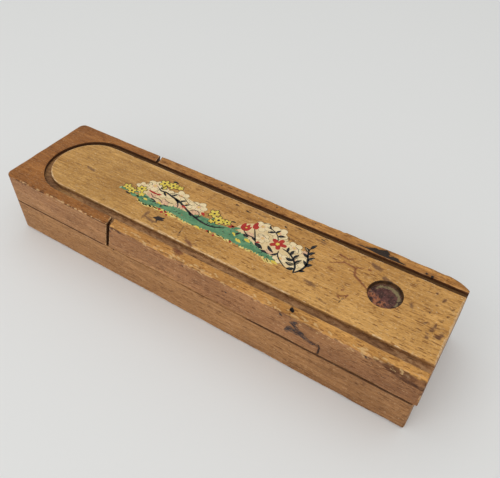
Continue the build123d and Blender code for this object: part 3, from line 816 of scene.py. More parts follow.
# faces at the joint between the tiers are darkened: dirt and painted shadow in the gap
seam = (Z < 19.50) & ((np.abs(Y) > 26.6) | (X < -109.3) | (np.hypot(X + 106.4, np.abs(Y) - 23.65) > 3.0) & (X < -106.4) & (np.abs(Y) > 23.65))
endb.grime_and_shade = np.maximum(endb.grime_and_shade, 0.90 * seam)
endb.grime_and_shade = np.maximum(endb.grime_and_shade, 0.85 * (np.abs(u) < 0.3))
black = np.full(X.shape, -9.0)
for cx, cz, r in ((-98.0, 33.5, 0.5), (-95.5, 33.8, 0.4), (-84.0, 33.0, 0.4), (-61.0, 30.0, 0.35), (-54.5, 32.0, 0.4)):
    black = np.maximum(black, field(X, Z, [([(cx, cz)], r)], where=(Y < -26.0)))
for cx, cy, r in ((-55.5, 24.4, 0.45), (-52.0, 22.9, 0.4), (-57.5, 26.4, 0.4), (-101.0, 4.0, 0.25)):
    black = np.maximum(black, field(X, Y, [([(cx, cy)], r)], where=(Z > 34.6)))
end_fields = {"ink": black, "stain": np.full(X.shape, -9.0)}

# ---------------------------------------------------------------- base
base = Piece(
    "base_block",
    steps(-111.0, 109.0, 0.9) + [-109.8, -109.4, 108.45, 108.2, 107.8],
    near(-27.25, [0.2, 0.45, 0.8, 1.2, 1.8, 2.6], 1) + near(27.25, [0.2, 0.45, 0.8, 1.2, 1.8, 2.6], -1) + steps(-23, 23, 2.0),
    near(19.1, [0.2, 0.45, 0.8, 1.2], -1) + [0.2, 0.45, 0.8, 1.2, 1.8] + steps(2.6, 17.4, 0.9),
)
X, Y, Z = base.P0.T
nx, ny, nz = base.N.T
h = 0.04 + 0.16 * line_noise(X, 6.0, 61) + 0.2 * smooth01((line_noise(X, 19.0, 62) - 0.6) / 0.1)
base.arris(Y + 27.25, 19.1 - Z, unit(0, 1, 0), unit(0, 0, -1), X, h, crown=0.2, reach=1.5)
h = 0.30 + 0.55 * line_noise(X, 9.0, 63) + 0.3 * (line_noise(X, 2.3, 64) - 0.5).clip(0)
base.arris(Y + 27.25, Z, unit(0, 1, 0), unit(0, 0, 1), X, h, crown=0.2, reach=3.5)
base.arris(27.25 - Y, Z, unit(0, -1, 0), unit(0, 0, 1), X, h, crown=0.2, reach=3.5)
h = 0.35 + 0.45 * line_noise(Y, 5.0, 65)
base.arris(X + 110.0, Z, unit(1, 0, 0), unit(0, 0, 1), Y, h, crown=0.2, reach=3.5, mask=(np.abs(Y) < 24))
base.arris(108.65 - X, Z, unit(-1, 0, 0), unit(0, 0, 1), Y, h, crown=0.2, reach=3.5)
h = 0.12 + 0.3 * line_noise(Z, 4.0, 66)
base.arris(108.65 - X, Y + 27.25, unit(-1, 0, 0), unit(0, 1, 0), Z, h, crown=0.2, reach=2.5)
base.wear_and_highlight = np.minimum(base.wear_and_highlight, 0.30)
outer = (((ny < -0.6) & (Y < -26.9)) | ((ny > 0.6) & (Y > 26.9)) | ((nx < -0.6) & (X < -109.5)) | ((nx > 0.6) & (X > 108.3))) & (Z < 18.0)
und = vnoise(base.P0, (18, 9, 5), 67) * 0.12 + vnoise(base.P0, (3.5, 3.5, 1.8), 68) * 0.04
base.P -= base.N * (und * outer)[:, None]
notch = field(X, Z, [([(-40.6, 19.6), (-41.4, 18.2)], [0.5, 0.25])], where=(Y < -26.0))
base.P[:, 1] += 0.4 * smooth01((notch + 0.2) / 0.4) * (Y < -26.0)
dings = field(X, Z, [([(30.0, 10.5), (31.2, 10.4)], 0.5), ([(76.0, 14.3)], 0.5), ([(-77.0, 7.0), (-75.5, 6.8)], 0.5), ([(63.0, 3.6), (66.0, 3.2)], 0.5)],
              where=(Y < -26.0))
base.P[:, 1] += 0.25 * smooth01((dings + 0.3) / 0.5) * (Y < -26.0)
black = field(X, Z, [([(-40.6, 19.4), (-41.4, 17.0)], [0.42, 0.30]), ([(76.0, 14.3)], 0.35), ([(30.4, 10.4)], 0.3), ([(5.0, 15.8)], 0.25),
                     ([(-20.0, 9.0)], 0.22), ([(52.0, 6.0)], 0.25), ([(92.0, 11.0)], 0.25)], where=(Y < -26.0))
# faces at the joint between the tiers are darkened, most at the left end and the free end: dirt and painted shadow in
# the gap
seam = (Z > 18.70) & ((np.abs(Y) > 26.6) | (X > 108.0) | (X < -109.3) | (np.hypot(X + 106.4, np.abs(Y) - 23.65) > 3.0) & (X < -106.4) & (np.abs(Y) > 23.65))
strength = 0.40 + 0.50 * smooth01((-46.0 - X) / 3.0) + 0.60 * smooth01((X - 30.0) / 10.0)
base.grime_and_shade = np.maximum(base.grime_and_shade, seam * strength)
# inside the troughs and under the tray the base is darkened a little
inside = (np.abs(Y) < 26.0) & (Z > 5.0) & (Z < 19.2) & (X < 107.0)
base.grime_and_shade = np.maximum(base.grime_and_shade, 0.25 * inside)
# the base's outer faces are darker towards the bottom, next to the floor
foot = smooth01((1.6 - Z) / 1.2) * ((np.abs(Y) > 25.5) | (X > 107) | (X < -108.4))
base.grime_and_shade = np.maximum(base.grime_and_shade, 0.42 * foot)
base_fields = {"ink": black, "stain": np.full(X.shape, -9.0)}

# ----------------------------------------------------------------- lid
lid = Piece(
    "lid",
    steps(-103.0, 110.5, 0.65) + [109.2, 109.6, 109.85] + near(82.0, [7.2, 6.95, 6.6], 1) + near(82.0, [7.2, 6.95, 6.6], -1),
    near(-18.5, [0.15, 0.35, 0.6, 0.95], 1) + near(18.5, [0.15, 0.35, 0.6, 0.95], -1) + steps(-17.1, 17.1, 0.65)
    + near(-24.1, [0.3, 1.2], 1) + near(24.1, [0.3, 1.2], -1) + [-22.1, 22.1, -21.0, 21.0, -20.0, 20.0, -19.3, 19.3],
    [31.8, 32.5, 33.2, 33.8, 34.3, 34.8, 35.2, 35.5, 35.7, 35.88],
)
X, Y, Z = lid.P0.T
nx, ny, nz = lid.N.T
rr = 18.5 - np.hypot(np.minimum(X + 78.9, 0), Y)
rad = np.stack([np.minimum(X + 78.9, 0), Y, np.zeros_like(X)], 1)
rad /= np.maximum(np.linalg.norm(rad, axis=1), 1e-6)[:, None]
s_l = X + np.where(Y > 0, 300.0, 0.0)
h = 0.14 + 0.28 * np.clip(line_noise(s_l, 8.0, 71) - 0.25, 0, 1) + 0.22 * (line_noise(s_l, 1.7, 72) - 0.45).clip(0)
h = np.maximum(h, lid.chips(X, 73, 22, -90, 106, (0.8, 2.6), (0.2, 0.42)) * (Y < 0))
t = (rr + 36.0 - Z) / math.sqrt(2)
m_ = (rr > -0.4) & (rr < 2.0) & (Z > 33.9)
d = np.where(m_, np.clip(h + 0.02 - t, 0, None) * 0.8, 0)
lid.P += (-rad - np.array([0, 0, 1.0])) * (d / math.sqrt(2))[:, None]
# pale line along the raised field's edge: rubbed varnish, partly a painted highlight on the rounded arris, fainter
# towards the right end
lid.wear_and_highlight = np.maximum(lid.wear_and_highlight, np.where(m_, smooth01((h + 0.26 - t) / 0.24) * smooth01((Z - 34.9) / 0.4), 0) * (0.45 + 0.55 * smooth01((line_noise(s_l, 3.0, 70) - 0.30) / 0.25)) * (1.0 - 0.62 * smooth01((X - 20.0) / 40.0)))
s_end = Y
h = 0.22 + 0.5 * np.clip(line_noise(s_end, 3.4, 74) - 0.25, 0, 1) + 0.3 * (line_noise(s_end, 1.2, 75) - 0.5).clip(0)
lid.arris(110.0 - X, 36.0 - Z, unit(-1, 0, 0), unit(0, 0, -1), s_end, h, crown=0.2, reach=2.0, mask=(np.abs(Y) < 18.35) & (X > 107))
print_zone = (X > -58.5) & (X < 53.5) & (Y > -14.0) & (Y < 19.0) & (np.abs(Y) < 18.5)
free = 1.0 - smooth01(np.clip(np.minimum(np.minimum(X + 58.5, 53.5 - X), np.minimum(Y + 14.0, 30.0)) / 2.0, 0, 1))
tops = (nz > 0.7) & (Z > 35.7)
und = vnoise(lid.P0, (13, 6, 5), 76) * 0.12 + vnoise(lid.P0, (3.0, 1.1, 2), 77) * 0.05
r_rec = np.hypot(X - 82.0, Y - 2.6)
lid.P[:, 2] -= und * tops * free * (r_rec > 7.6)
# finger recess: rubbed rim, uneven scooped floor
h = 0.04 + 0.16 * line_noise(np.degrees(np.arctan2(Y - 2.6, X - 82.0)), 22.0, 78)
t = (r_rec - 7.2 + 36.0 - Z) / math.sqrt(2)
m_ = (r_rec > 6.9) & (r_rec < 9.5) & (Z > 34.6)
rad2 = np.stack([X - 82.0, Y - 2.6, np.zeros_like(X)], 1) / np.maximum(r_rec, 1e-6)[:, None]
d = np.where(m_, np.clip(h + 0.12 - t, 0, None) * 0.75, 0)
lid.P += (rad2 - np.array([0, 0, 1.0])) * (d / math.sqrt(2))[:, None]
floor_m = (r_rec < 6.6) & (Z < 34.3) & (Z > 33.4) & (nz > 0.5)
lid.P[:, 2] -= floor_m * (0.30 * vnoise(lid.P0, (1.7, 1.7, 5), 79) + 0.10 * vnoise(lid.P0, (0.8, 0.8, 5), 80)) * smooth01((6.6 - r_rec) / 1.5)
# dents near the right end, scrapes, gouges
field_top = (Z > 35.6).astype(float)
for cx, cy, rx, ry, dp, an in ((100.2, -2.2, 0.9, 0.6, 0.30, 20), (100.1, 3.5, 0.9, 0.7, 0.35, 0), (101.2, 8.4, 0.7, 0.6, 0.30, 0),
                               (102.9, 11.8, 1.2, 0.7, 0.35, 60), (103.7, -4.3, 1.5, 0.9, 0.45, 20), (106.6, -6.0, 1.9, 1.1, 0.50, -25),
                               (104.2, -1.2, 1.0, 1.2, 0.42, 0), (105.6, 1.6, 0.8, 0.6, 0.30, 0), (103.2, -8.6, 1.2, 0.7, 0.32, 10),
                               (106.8, 5.2, 1.0, 0.7, 0.32, 40), (107.4, 9.8, 0.9, 0.8, 0.3, 0), (92.6, 3.6, 1.4, 0.9, 0.28, 0),
                               (99.4, 14.4, 0.9, 0.7, 0.28, 0), (65.0, 15.6, 1.4, 0.6, 0.22, 10), (60.4, -2.6, 1.3, 0.5, 0.2, 25),
                               (-76.0, -1.2, 2.0, 0.8, 0.25, 10), (-12.0, 16.0, 2.0, 0.5, 0.2, 4), (1.5, 15.6, 2.4, 0.6, 0.22, 0),
                               (74.5, -14.0, 1.8, 0.6, 0.22, 5), (94.0, -12.5, 1.6, 0.6, 0.2, 0), (31.0, -13.5, 2.0, 0.5, 0.2, 0)):
    lid.dent((cx, cy), (rx * 1.2, ry * 1.25), dp * (1.5 if cx > 95 else 1.1), angle=an, grime_and_shade=(0.62 if cx > 95 else 0.0), face=field_top * (free if abs(cy) < 14 and cx < 53 else 1.0))
scr = field(X, Y, [([(-10.1, -9.5), (-8.7, -16.4)], 0.3), ([(55.4, 6.3), (60.8, 9.7), (66.1, 9.1)], 0.32),
                   ([(67.9, 4.3), (74.8, 1.0)], 0.4), ([(66.6, -8.6), (69.7, -6.0)], 0.35)], where=(Z > 35.6))
lid.P[:, 2] -= 0.12 * smooth01((scr + 0.35) / 0.5) * np.maximum(free, (X > 54))
on_top = (Z > 35.4)
black = field(X, Y, [
    ([(-25.2, -12.5), (-23.6, -11.9), (-22.2, -11.4), (-20.8, -10.6)], [0.35, 0.80, 0.72, 0.28]),
    ([(-23.2, -12.9), (-21.8, -12.3), (-20.2, -11.9)], [0.35, 0.42, 0.2]), ([(-24.2, -11.2), (-23.2, -10.8)], [0.3, 0.2]),
    ([(-22.9, -13.6), (-22.4, -14.2)], [0.3, 0.12]),
    ([(-9.9, -10.2), (-8.9, -15.6)], 0.05),
    ([(-98.4, -0.6), (-97.8, 0.4)], [0.35, 0.2]),
    ([(68.6, -8.4), (68.3, -11.2)], 0.16), ([(64.4, -5.1)], 0.24), ([(106.6, -6.6)], 0.12), ([(103.9, -3.2)], 0.12),
    ([(46.0, 16.6), (48.0, 16.3)], 0.16), ([(34.0, 17.2), (36.4, 16.8)], 0.14),
    ([(28.5, 14.9), (30.0, 14.6)], [0.3, 0.15]), ([(20.6, 17.0), (22.0, 16.8)], 0.12),
    ([(1.4, 15.8), (3.4, 15.5)], [0.25, 0.1]), ([(8.2, 14.4), (10.6, 14.2)], [0.35, 0.15]),
], where=on_top)
red = field(X, Y, [
    ([(55.4, 6.3), (60.8, 9.7), (66.1, 9.1), (69.3, 11.2)], [0.25, 0.42, 0.38, 0.2]),
    ([(57.2, 12.6), (60.6, 12.2)], [0.5, 0.3]), ([(61.0, 12.0), (64.0, 14.2)], [0.4, 0.2]),
    ([(71.2, 11.2), (71.9, 11.2)], [0.5, 0.4]),
    ([(66.1, 8.6), (67.4, 5.0), (70.6, 3.4), (74.8, 1.0)], [0.3, 0.45, 0.42, 0.25]),
    ([(64.0, 6.6), (68.0, 6.4)], [0.2, 0.3]),
    ([(66.5, -4.9), (67.2, -4.0)], [0.4, 0.25]), ([(66.6, -8.6), (69.7, -6.0)], [0.38, 0.35]),
    ([(69.7, -6.0), (69.0, -9.6)], [0.3, 0.2]), ([(65.4, -7.6), (67.6, -9.6)], [0.2, 0.25]),
    ([(56.0, 3.2), (59.8, 2.6)], [0.3, 0.2]), ([(53.6, 9.4), (57.0, 9.0)], [0.2, 0.3]),
], where=on_top)
smudge = field(X, Y, [
    ([(51.1, -8.5), (53.6, -8.6), (56.4, -9.2)], [0.6, 1.15, 0.8]), ([(71.2, 15.1), (73.5, 14.2), (75.4, 13.7)], [1.0, 1.5, 0.9]),
    ([(78.4, 10.4), (81.2, 9.6)], [1.2, 1.0]), ([(100.1, 3.5), (100.3, 4.3)], [0.75, 0.55]), ([(98.6, 1.2)], [0.45]), ([(105.4, 1.4), (106.2, 2.4)], [0.6, 0.4]), ([(107.0, 9.0), (106.0, 10.0)], [0.5, 0.4]), ([(102.9, 11.8), (103.2, 12.8)], [0.8, 0.7]),
    ([(103.4, -4.8), (104.3, -2.8), (104.0, -0.8)], [0.7, 0.9, 0.6]), ([(105.6, -6.8), (107.0, -6.0), (107.8, -4.6)], [0.7, 1.1, 0.8]), ([(100.0, -2.6), (100.8, -1.8)], [0.7, 0.6]), ([(102.0, -6.4), (103.0, -7.0)], [0.5, 0.4]), ([(106.2, -2.2), (107.0, -1.4)], [0.4, 0.4]),
    ([(92.6, 3.6), (93.4, 2.0)], [1.0, 0.8]), ([(103.2, -8.4)], [1.0]), ([(101.2, 8.4)], [0.6]), ([(99.4, 14.4)], [0.8]),
    ([(-29.6, -10.6), (-29.9, -12.6), (-29.8, -15.2)], [0.8, 1.0, 0.7]), ([(-29.4, -13.6), (-26.8, -14.4), (-24.2, -15.0), (-21.8, -14.4)], [0.6, 0.9, 0.8, 0.5]), ([(-27.6, -13.2), (-26.0, -13.0)], [0.5, 0.5]), ([(-10.1, -9.8), (-9.4, -13.2), (-8.9, -16.0)], [0.35, 0.3, 0.35]), ([(-11.8, -12.2), (-10.6, -14.8)], [0.25, 0.3]),
    ([(-78.5, -0.8), (-73.5, -1.6)], [0.8, 0.9]), ([(-84.0, 5.0), (-80.0, 4.6)], [0.4, 0.5]), ([(12.0, 16.0), (18.0, 15.4)], [0.4, 0.6]),
    ([(44.0, 15.4), (49.0, 15.0)], [0.5, 0.7]), ([(60.0, -14.0), (64.0, -14.6)], [0.5, 0.4]),
], where=on_top)
purple = field(X, Y, [([(-4.0, -16.2), (-1.8, -16.9), (0.2, -17.7)], [0.8, 1.25, 0.75]), ([(-5.0, -14.9)], [0.55]), ([(0.8, -16.0), (2.1, -16.4)], [0.5, 0.4])], where=on_top)
ang = np.arctan2(Y - 2.6, X - 82.0)
rec = 7.38 - r_rec
rec_field = np.where(Z < 35.9, rec, -9.0)
lid_fields = {"ink": black, "red": red, "smudge": smudge, "stain": purple, "rec": np.where((Z < 35.95), rec, np.minimum(rec, -0.2))}
# ledge round the raised field: dust at the front; towards the back and round the left curve, painted shade with dirt
# takes the place of the dust
ledge = (np.abs(Y) > 18.45) | (np.hypot(np.minimum(X + 78.9, 0), Y) > 18.55)
back = np.maximum(smooth01((Y + 6.0) / 12.0), 0.62 * smooth01((-60.0 - X) / 22.0))
lid.dust = np.where(ledge & (Z < 33.9), 1.0 - 0.95 * back, lid.dust)
lid.grime_and_shade = np.maximum(lid.grime_and_shade, np.where(ledge & (Z < 33.9), 1.0 * back + 0.12 * smooth01((line_noise(s_l, 6.0, 170) - 0.45) / 0.2), 0))
# step face of the raised field: painted shade with some dirt, darker the deeper it goes
step = (Z < 35.3) & (Z > 33.4) & ((rr < 0.3) & (rr > -0.4))
lid.grime_and_shade = np.maximum(lid.grime_and_shade, step * (0.46 + 0.30 * np.clip((35.2 - Z) / 1.6, 0, 1)))


# ------------------------------------------------------------ finishes
def add_ink(g, col, r, h, key="ink", tint=(22, 22, 30), grit=0.55, lo=-0.12, hi=0.22, amount=0.93, gloss=-0.12, cell=0.9, seed=3.0):
    m = blot(g, g.attr(key), grit, lo, hi, cell, seed)
    m = g.mul(m, amount)
    col = g.mix(m, col, srgb(*tint))
    r = g.add(r, g.mul(m, gloss))
    return col, r, g.add(h, g.mul(m, 0.3))


def tray_extra(g, col, r, h):
    # the back rail is darker and more mottled than the front one
    back = g.mul(g.band(g.y, 20.0, 22.5), g.band(g.attr("up"), 0.2, 0.7))
    mot = g.band(g.noise(g.stretch(0.16, 0.5, 0.5, (6.1, 3.2, 1.6)), 4.0, 0.62), 0.36, 0.66)
    col = g.mix(back, col, g.mix(mot, (0.74, 0.68, 0.64, 1), (0.98, 0.94, 0.92, 1)), "MULTIPLY")
    # handling dirt packed at the free end of the front side
    dn = g.band(g.noise(g.stretch(0.30, 0.8, 0.8, (2.2, 7.7, 3.4)), 4.0, 0.66), 0.47, 0.60)
    low = g.mul(g.band(g.x, 86.0, 101.0), g.band(g.y, -25.6, -26.8), g.band(g.z, 24.5, 29.0), dn)
    col = g.mix(g.mul(low, 0.60), col, (0.48, 0.38, 0.34, 1), "MULTIPLY")
    # purple stains, pale bare chips, and ink drops with a soft halo
    col, r, h = add_ink(g, col, r, h, "stain", (88, 34, 34), 1.6, -0.5, 0.9, 0.72, 0.0, 0.7, 5.0)
    bare = blot(g, g.attr("bare"), 0.7, -0.22, 0.14, 0.7, 8.0)
    col = g.mix(g.mul(bare, 0.62), col, srgb(222, 184, 128))
    spots = g.attr("ink")
    halo = blot(g, spots, 1.4, -1.1, 0.2, 1.1, 9.0)
    col = g.mix(g.mul(halo, 0.30), col, (0.55, 0.46, 0.44, 1), "MULTIPLY")
    thin = g.band(g.noise(g.stretch(0.5, 1.3, 1.3, (4.1, 2.2, 6.6)), 3.0, 0.6), 0.42, 0.60)
    front = g.band(g.y, -26.6, -27.0)
    m = blot(g, spots, 0.60, -0.26, 0.10, 0.8, 3.0)
    m = g.mul(m, g.m("SUBTRACT", 0.95, g.mul(thin, front, 0.55)))
    col = g.mix(m, col, g.mix(g.mul(front, 0.6), srgb(14, 14, 17), srgb(30, 28, 40)))
    return col, g.add(r, g.mul(m, -0.20)), g.add(h, g.mul(m, 0.3))


def end_extra(g, col, r, h):
    return add_ink(g, col, r, h, "ink", (40, 28, 24), 0.6, -0.15, 0.2, 0.85, 0.0, 0.7, 2.0)


def lid_extra(g, col, r, h):
    sm = blot(g, g.attr("smudge"), 2.0, -0.40, 0.80, 1.1, 4.0, (0.8, 1, 1))
    col = g.mix(g.mul(sm, 0.74), col, srgb(98, 66, 50))
    rd = blot(g, g.attr("red"), 1.0, -0.30, 0.22, 0.6, 6.0, (0.6, 1, 1))
    col = g.mix(g.mul(rd, 0.74), col, srgb(104, 34, 26))
    col, r, h = add_ink(g, col, r, h, "stain", (88, 34, 34), 1.6, -0.5, 0.9, 0.72, 0.0, 0.7, 5.0)
    col, r, h = add_ink(g, col, r, h, "ink", (18, 18, 26), 0.5, -0.30, 0.04, 0.96, -0.05, 0.7, 3.0)
    # finger recess: old ink, purple-black, with rust orange low on the camera side and a worn grey-green ring
    rec = g.attr("rec")
    inside = g.band(rec, -0.25, 0.15)
    n1 = g.noise(g.stretch(0.42, 0.42, 0.42, (3.3, 8.1, 1.1)), 5.0, 0.68)
    n2 = g.noise(g.stretch(0.75, 0.75, 0.75, (7.3, 1.1, 5.1)), 4.0, 0.65)
    side = g.add(g.mul(g.m("SUBTRACT", g.x, 82.0), -0.030), g.mul(g.m("SUBTRACT", g.y, 2.6), -0.075))
    rust = g.mul(g.band(g.add(n2, side), 0.62, 0.72), g.band(n1, 0.40, 0.52))
    wob = g.mul(g.m("SUBTRACT", n2, 0.5), 2.4)
    recw = g.add(rec, wob)
    ringn = g.mul(g.band(recw, 2.5, 1.9), g.band(recw, 0.7, 1.2), g.band(g.add(n1, g.mul(g.m("SUBTRACT", g.x, 82.0), 0.018), g.mul(g.m("SUBTRACT", g.y, 2.6), 0.028)), 0.47, 0.60))
    c = g.mix(g.band(n1, 0.36, 0.60), srgb(34, 18, 28), srgb(96, 56, 58))
    c = g.mix(g.mul(rust, 0.85), c, g.mix(g.band(n1, 0.40, 0.60), srgb(120, 58, 36), srgb(186, 116, 78)))
    c = g.mix(g.band(n2, 0.56, 0.66), c, srgb(30, 20, 38))
    n3 = g.noise(g.stretch(1.1, 1.1, 1.1, (2.3, 6.1, 9.1)), 3.0, 0.6)
    c = g.mix(g.mul(g.band(n3, 0.58, 0.68), 0.55), c, srgb(150, 112, 104))
    c = g.mix(g.mul(ringn, 0.72), c, srgb(148, 138, 98))
    # the recess wall is darkened all round: painted shade
    c = g.mix(g.mul(g.band(rec, 0.75, 0.35), 0.90), c, g.mix(g.band(n1, 0.4, 0.6), srgb(40, 26, 16), srgb(84, 58, 32)))
    col = g.mix(g.mul(inside, 0.93), col, c)
    return col, g.add(r, g.mul(inside, -0.08)), h


mat_lid = wood("beech_lid", (190, 138, 72), (210, 159, 90), (162, 114, 66), (180, 134, 80), 1.0, fleck=0.74,
               honey=(226, 184, 132), pale=(240, 212, 170), extra=lid_extra, rough=0.47, dirt=0.42, rubbed=0.92, fade=(-70.0, 30.0, 0.55), left=(-60.0, 20.0, (0.88, 0.885, 0.86, 1)), contrast=1.15)
mat_tray = wood("beech_tray", (180, 124, 62), (202, 146, 76), (158, 108, 68), (182, 130, 82), 2.0, fleck=0.72,
                honey=(222, 163, 89), extra=tray_extra, rough=0.50, dirt=0.75, rubbed=0.78, right=(35.0, 105.0, (0.72, 0.68, 0.66, 1)), contrast=1.2)
mat_end = wood("beech_end_block", (148, 92, 40), (166, 107, 50), (162, 112, 70), (182, 132, 84), 3.0, fleck=0.50,
               honey=(222, 184, 130), extra=end_extra, rough=0.50, dirt=0.60, contrast=1.25)
mat_base = wood("beech_base", (164, 116, 68), (182, 134, 82), (160, 112, 66), (184, 134, 84), 4.0, fleck=0.68,
                honey=(184, 136, 88), extra=end_extra, rough=0.52, dirt=0.55, right=(30.0, 100.0, (0.78, 0.74, 0.72, 1)), contrast=1.3)

tray_ob = tray.finish("tray_wood_worn", "tray", mat_tray, fields=tray_fields)
end_ob = endb.finish("end_block_wood_worn", "base", mat_end, fields=end_fields)
base_ob = base.finish("base_wood_worn", "base", mat_base, fields=base_fields)
lid_ob = lid.finish("lid_wood_worn", "lid", mat_lid, fields=lid_fields)
for o in (tray_ob, end_ob, base_ob, lid_ob):
    print("mesh", o.name, len(o.data.vertices), "verts", len(o.data.polygons), "faces",
          sum(len(p.vertices) - 2 for p in o.data.polygons), "triangles")


# =====================================================================
# the transfer print: blossom, grass and twigs in layers a few hundredths of a millimetre thick
# =====================================================================
def catmull(pts, n=6, closed=True):
    P = np.array(pts, float)
    m = len(P)
    out = []
    for i in range(m if closed else m - 1):
        if closed:
            a, b, c, d = P[(i - 1) % m], P[i], P[(i + 1) % m], P[(i + 2) % m]
        else:
            a, b, c, d = P[max(i - 1, 0)], P[i], P[i + 1], P[min(i + 2, m - 1)]
        for k in range(n):
            t = k / n
            out.append(0.5 * (2 * b + (c - a) * t + (2 * a - 5 * b + 4 * c - d) * t * t + (3 * b - a - 3 * c + d) * t ** 3))
    if not closed:
        out.append(P[-1])
    return np.array(out)


def stroke(pts, widths, n=8, taper=True):
    """A pen stroke with a changing width, as one closed outline."""
    c = catmull(pts, n, closed=False)
    s = np.linspace(0, 1, len(c))
    w = np.interp(s, np.linspace(0, 1, len(widths)), widths)
    if taper:
        w = w * np.clip(np.minimum(s, 1 - s) * 9 + 0.25, 0, 1)
    t = np.gradient(c, axis=0)
    t /= np.maximum(np.linalg.norm(t, axis=1), 1e-9)[:, None]
    nrm = np.stack([-t[:, 1], t[:, 0]], 1)
    return np.vstack([c + nrm * w[:, None], (c - nrm * w[:, None])[::-1]])


def flower(cx, cy, r, petals, depth=0.28, turn=0.0, squash_y=1.0, tilt=0.0, n=48):
    a = np.linspace(0, 2 * math.pi, n, endpoint=False)
    rr = r * (1 - depth * (0.5 - 0.5 * np.cos(petals * a + turn)) ** 1.6)
    x, y = rr * np.cos(a), rr * np.sin(a) * squash_y
    c, s = math.cos(math.radians(tilt)), math.sin(math.radians(tilt))
    return np.stack([cx + x * c - y * s, cy + x * s + y * c], 1)


def leaf(x0, y0, x1, y1, w, bend=0.0, n=8):
    a, b = np.array([x0, y0], float), np.array([x1, y1], float)
    d = b - a
    nrm = np.array([-d[1], d[0]]) / np.linalg.norm(d)
    t = np.linspace(0, 1, n)
    mid = a + d * t[:, None] + nrm * (bend * np.sin(math.pi * t))[:, None]
    ww = w * np.sin(math.pi * t ** 0.8) ** 0.9
    return np.vstack([mid + nrm * ww[:, None], (mid - nrm * ww[:, None])[::-1][1:-1]])


def ragged(upper, lower, rng, amp_u, amp_l, step=0.8):
    """A band between two lines with torn, grassy edges."""
    def line(pts, amp, sign):
        x = np.arange(pts[0][0], pts[-1][0], step)
        y = np.interp(x, [p[0] for p in pts], [p[1] for p in pts])
        k = rng.uniform(0.1, 1.0, len(x)) * amp
        k[1::2] *= 0.25
        lean = rng.uniform(-0.2, 0.4, len(x))
        return np.stack([x + lean * step, y + sign * k], 1)
    return np.vstack([line(upper, amp_u, 1)[::-1], line(lower, amp_l, -1)])


def plate(name, outlines, top, mat):
    bm = bmesh.new()
    for pts in outlines:
        pts = np.asarray(pts, float)
        keep = [pts[0]]
        for p in pts[1:]:
            if np.hypot(*(p - keep[-1])) > 0.02:
                keep.append(p)
        if np.hypot(*(keep[-1] - keep[0])) < 0.02:
            keep.pop()
        pts = np.array(keep)
        area = np.sum(pts[:, 0] * np.roll(pts[:, 1], -1) - np.roll(pts[:, 0], -1) * pts[:, 1])
        if area < 0:
            pts = pts[::-1]
        hi = [bm.verts.new((p[0] / 1000, p[1] / 1000, top / 1000)) for p in pts]
        lo = [bm.verts.new((p[0] / 1000, p[1] / 1000, 35.90 / 1000)) for p in pts]
        f = bm.faces.new(hi)
        b = bm.faces.new(lo[::-1])
        n = len(pts)
        for i in range(n):
            bm.faces.new((hi[i], lo[i], lo[(i + 1) % n], hi[(i + 1) % n]))
    bm.normal_update()
    bmesh.ops.triangulate(bm, faces=[f for f in bm.faces if len(f.verts) > 4], ngon_method="EAR_CLIP")
    bm.normal_update()
    me = bpy.data.meshes.new(name)
    bm.to_mesh(me)
    bm.free()
    me.materials.append(mat)
    ob = bpy.data.objects.new(name, me)
    scene.collection.objects.link(ob)
    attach(ob, "lid")
    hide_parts("lid_decal")
    return ob


def print_ink(name, a, b, seed, wornness=0.5, tint=(178, 134, 80)):
    g = Graph(name)
    o = (seed * 5.1, seed * 2.3, seed)
    n = g.noise(g.stretch(0.28, 0.45, 0.45, o), 4.0, 0.6)
    col = g.mix(g.band(n, 0.30, 0.70), srgb(*a), srgb(*b))
    grain = g.noise(g.stretch(0.18, 2.4, 2.4, (o[1], o[0], 0.0)), 4.0, 0.6)
    col = g.mix(g.band(grain, 0.52, 0.80, 0.0, 0.42), col, (0.66, 0.56, 0.46, 1), "MULTIPLY")
    rubn = g.add(g.noise(g.stretch(0.55, 1.5, 1.5, (o[2], o[1], 3.0)), 4.0, 0.68), g.mul(g.m("SUBTRACT", g.noise(g.stretch(0.07, 0.12, 0.1, (o[1], 9.0, 3.0)), 2.0, 0.5), 0.5), 0.30))
    rub = g.band(rubn, 0.66 - 0.06 * wornness, 0.71 - 0.06 * wornness)
    wood_c = g.mix(g.band(grain, 0.35, 0.65), srgb(*tint), srgb(int(tint[0] * 0.84), int(tint[1] * 0.82), int(tint[2] * 0.78)))
    col = g.mix(g.mul(rub, 0.85), col, wood_c)
    dots = g.band(g.noise(g.stretch(1.3, 1.3, 1.3, (4.0, o[0], 8.0)), 2.0, 0.5), 0.68, 0.74)
    col = g.mix(g.mul(dots, 0.45), col, srgb(84, 62, 44))
    g.put(g.bsdf.inputs["Base Color"], col)
    g.put(g.bsdf.inputs["Roughness"], g.add(0.42, g.mul(rub, 0.14), g.mul(g.m("SUBTRACT", n, 0.5), 0.16)))
    g.bsdf.inputs["Specular IOR Level"].default_value = 0.16
    g.put(g.bsdf.inputs["Normal"], g.bump(g.add(g.mul(grain, 0.5), g.mul(rub, -0.6), g.mul(n, 0.3)), 0.00006, 0.6))
    return g.mat


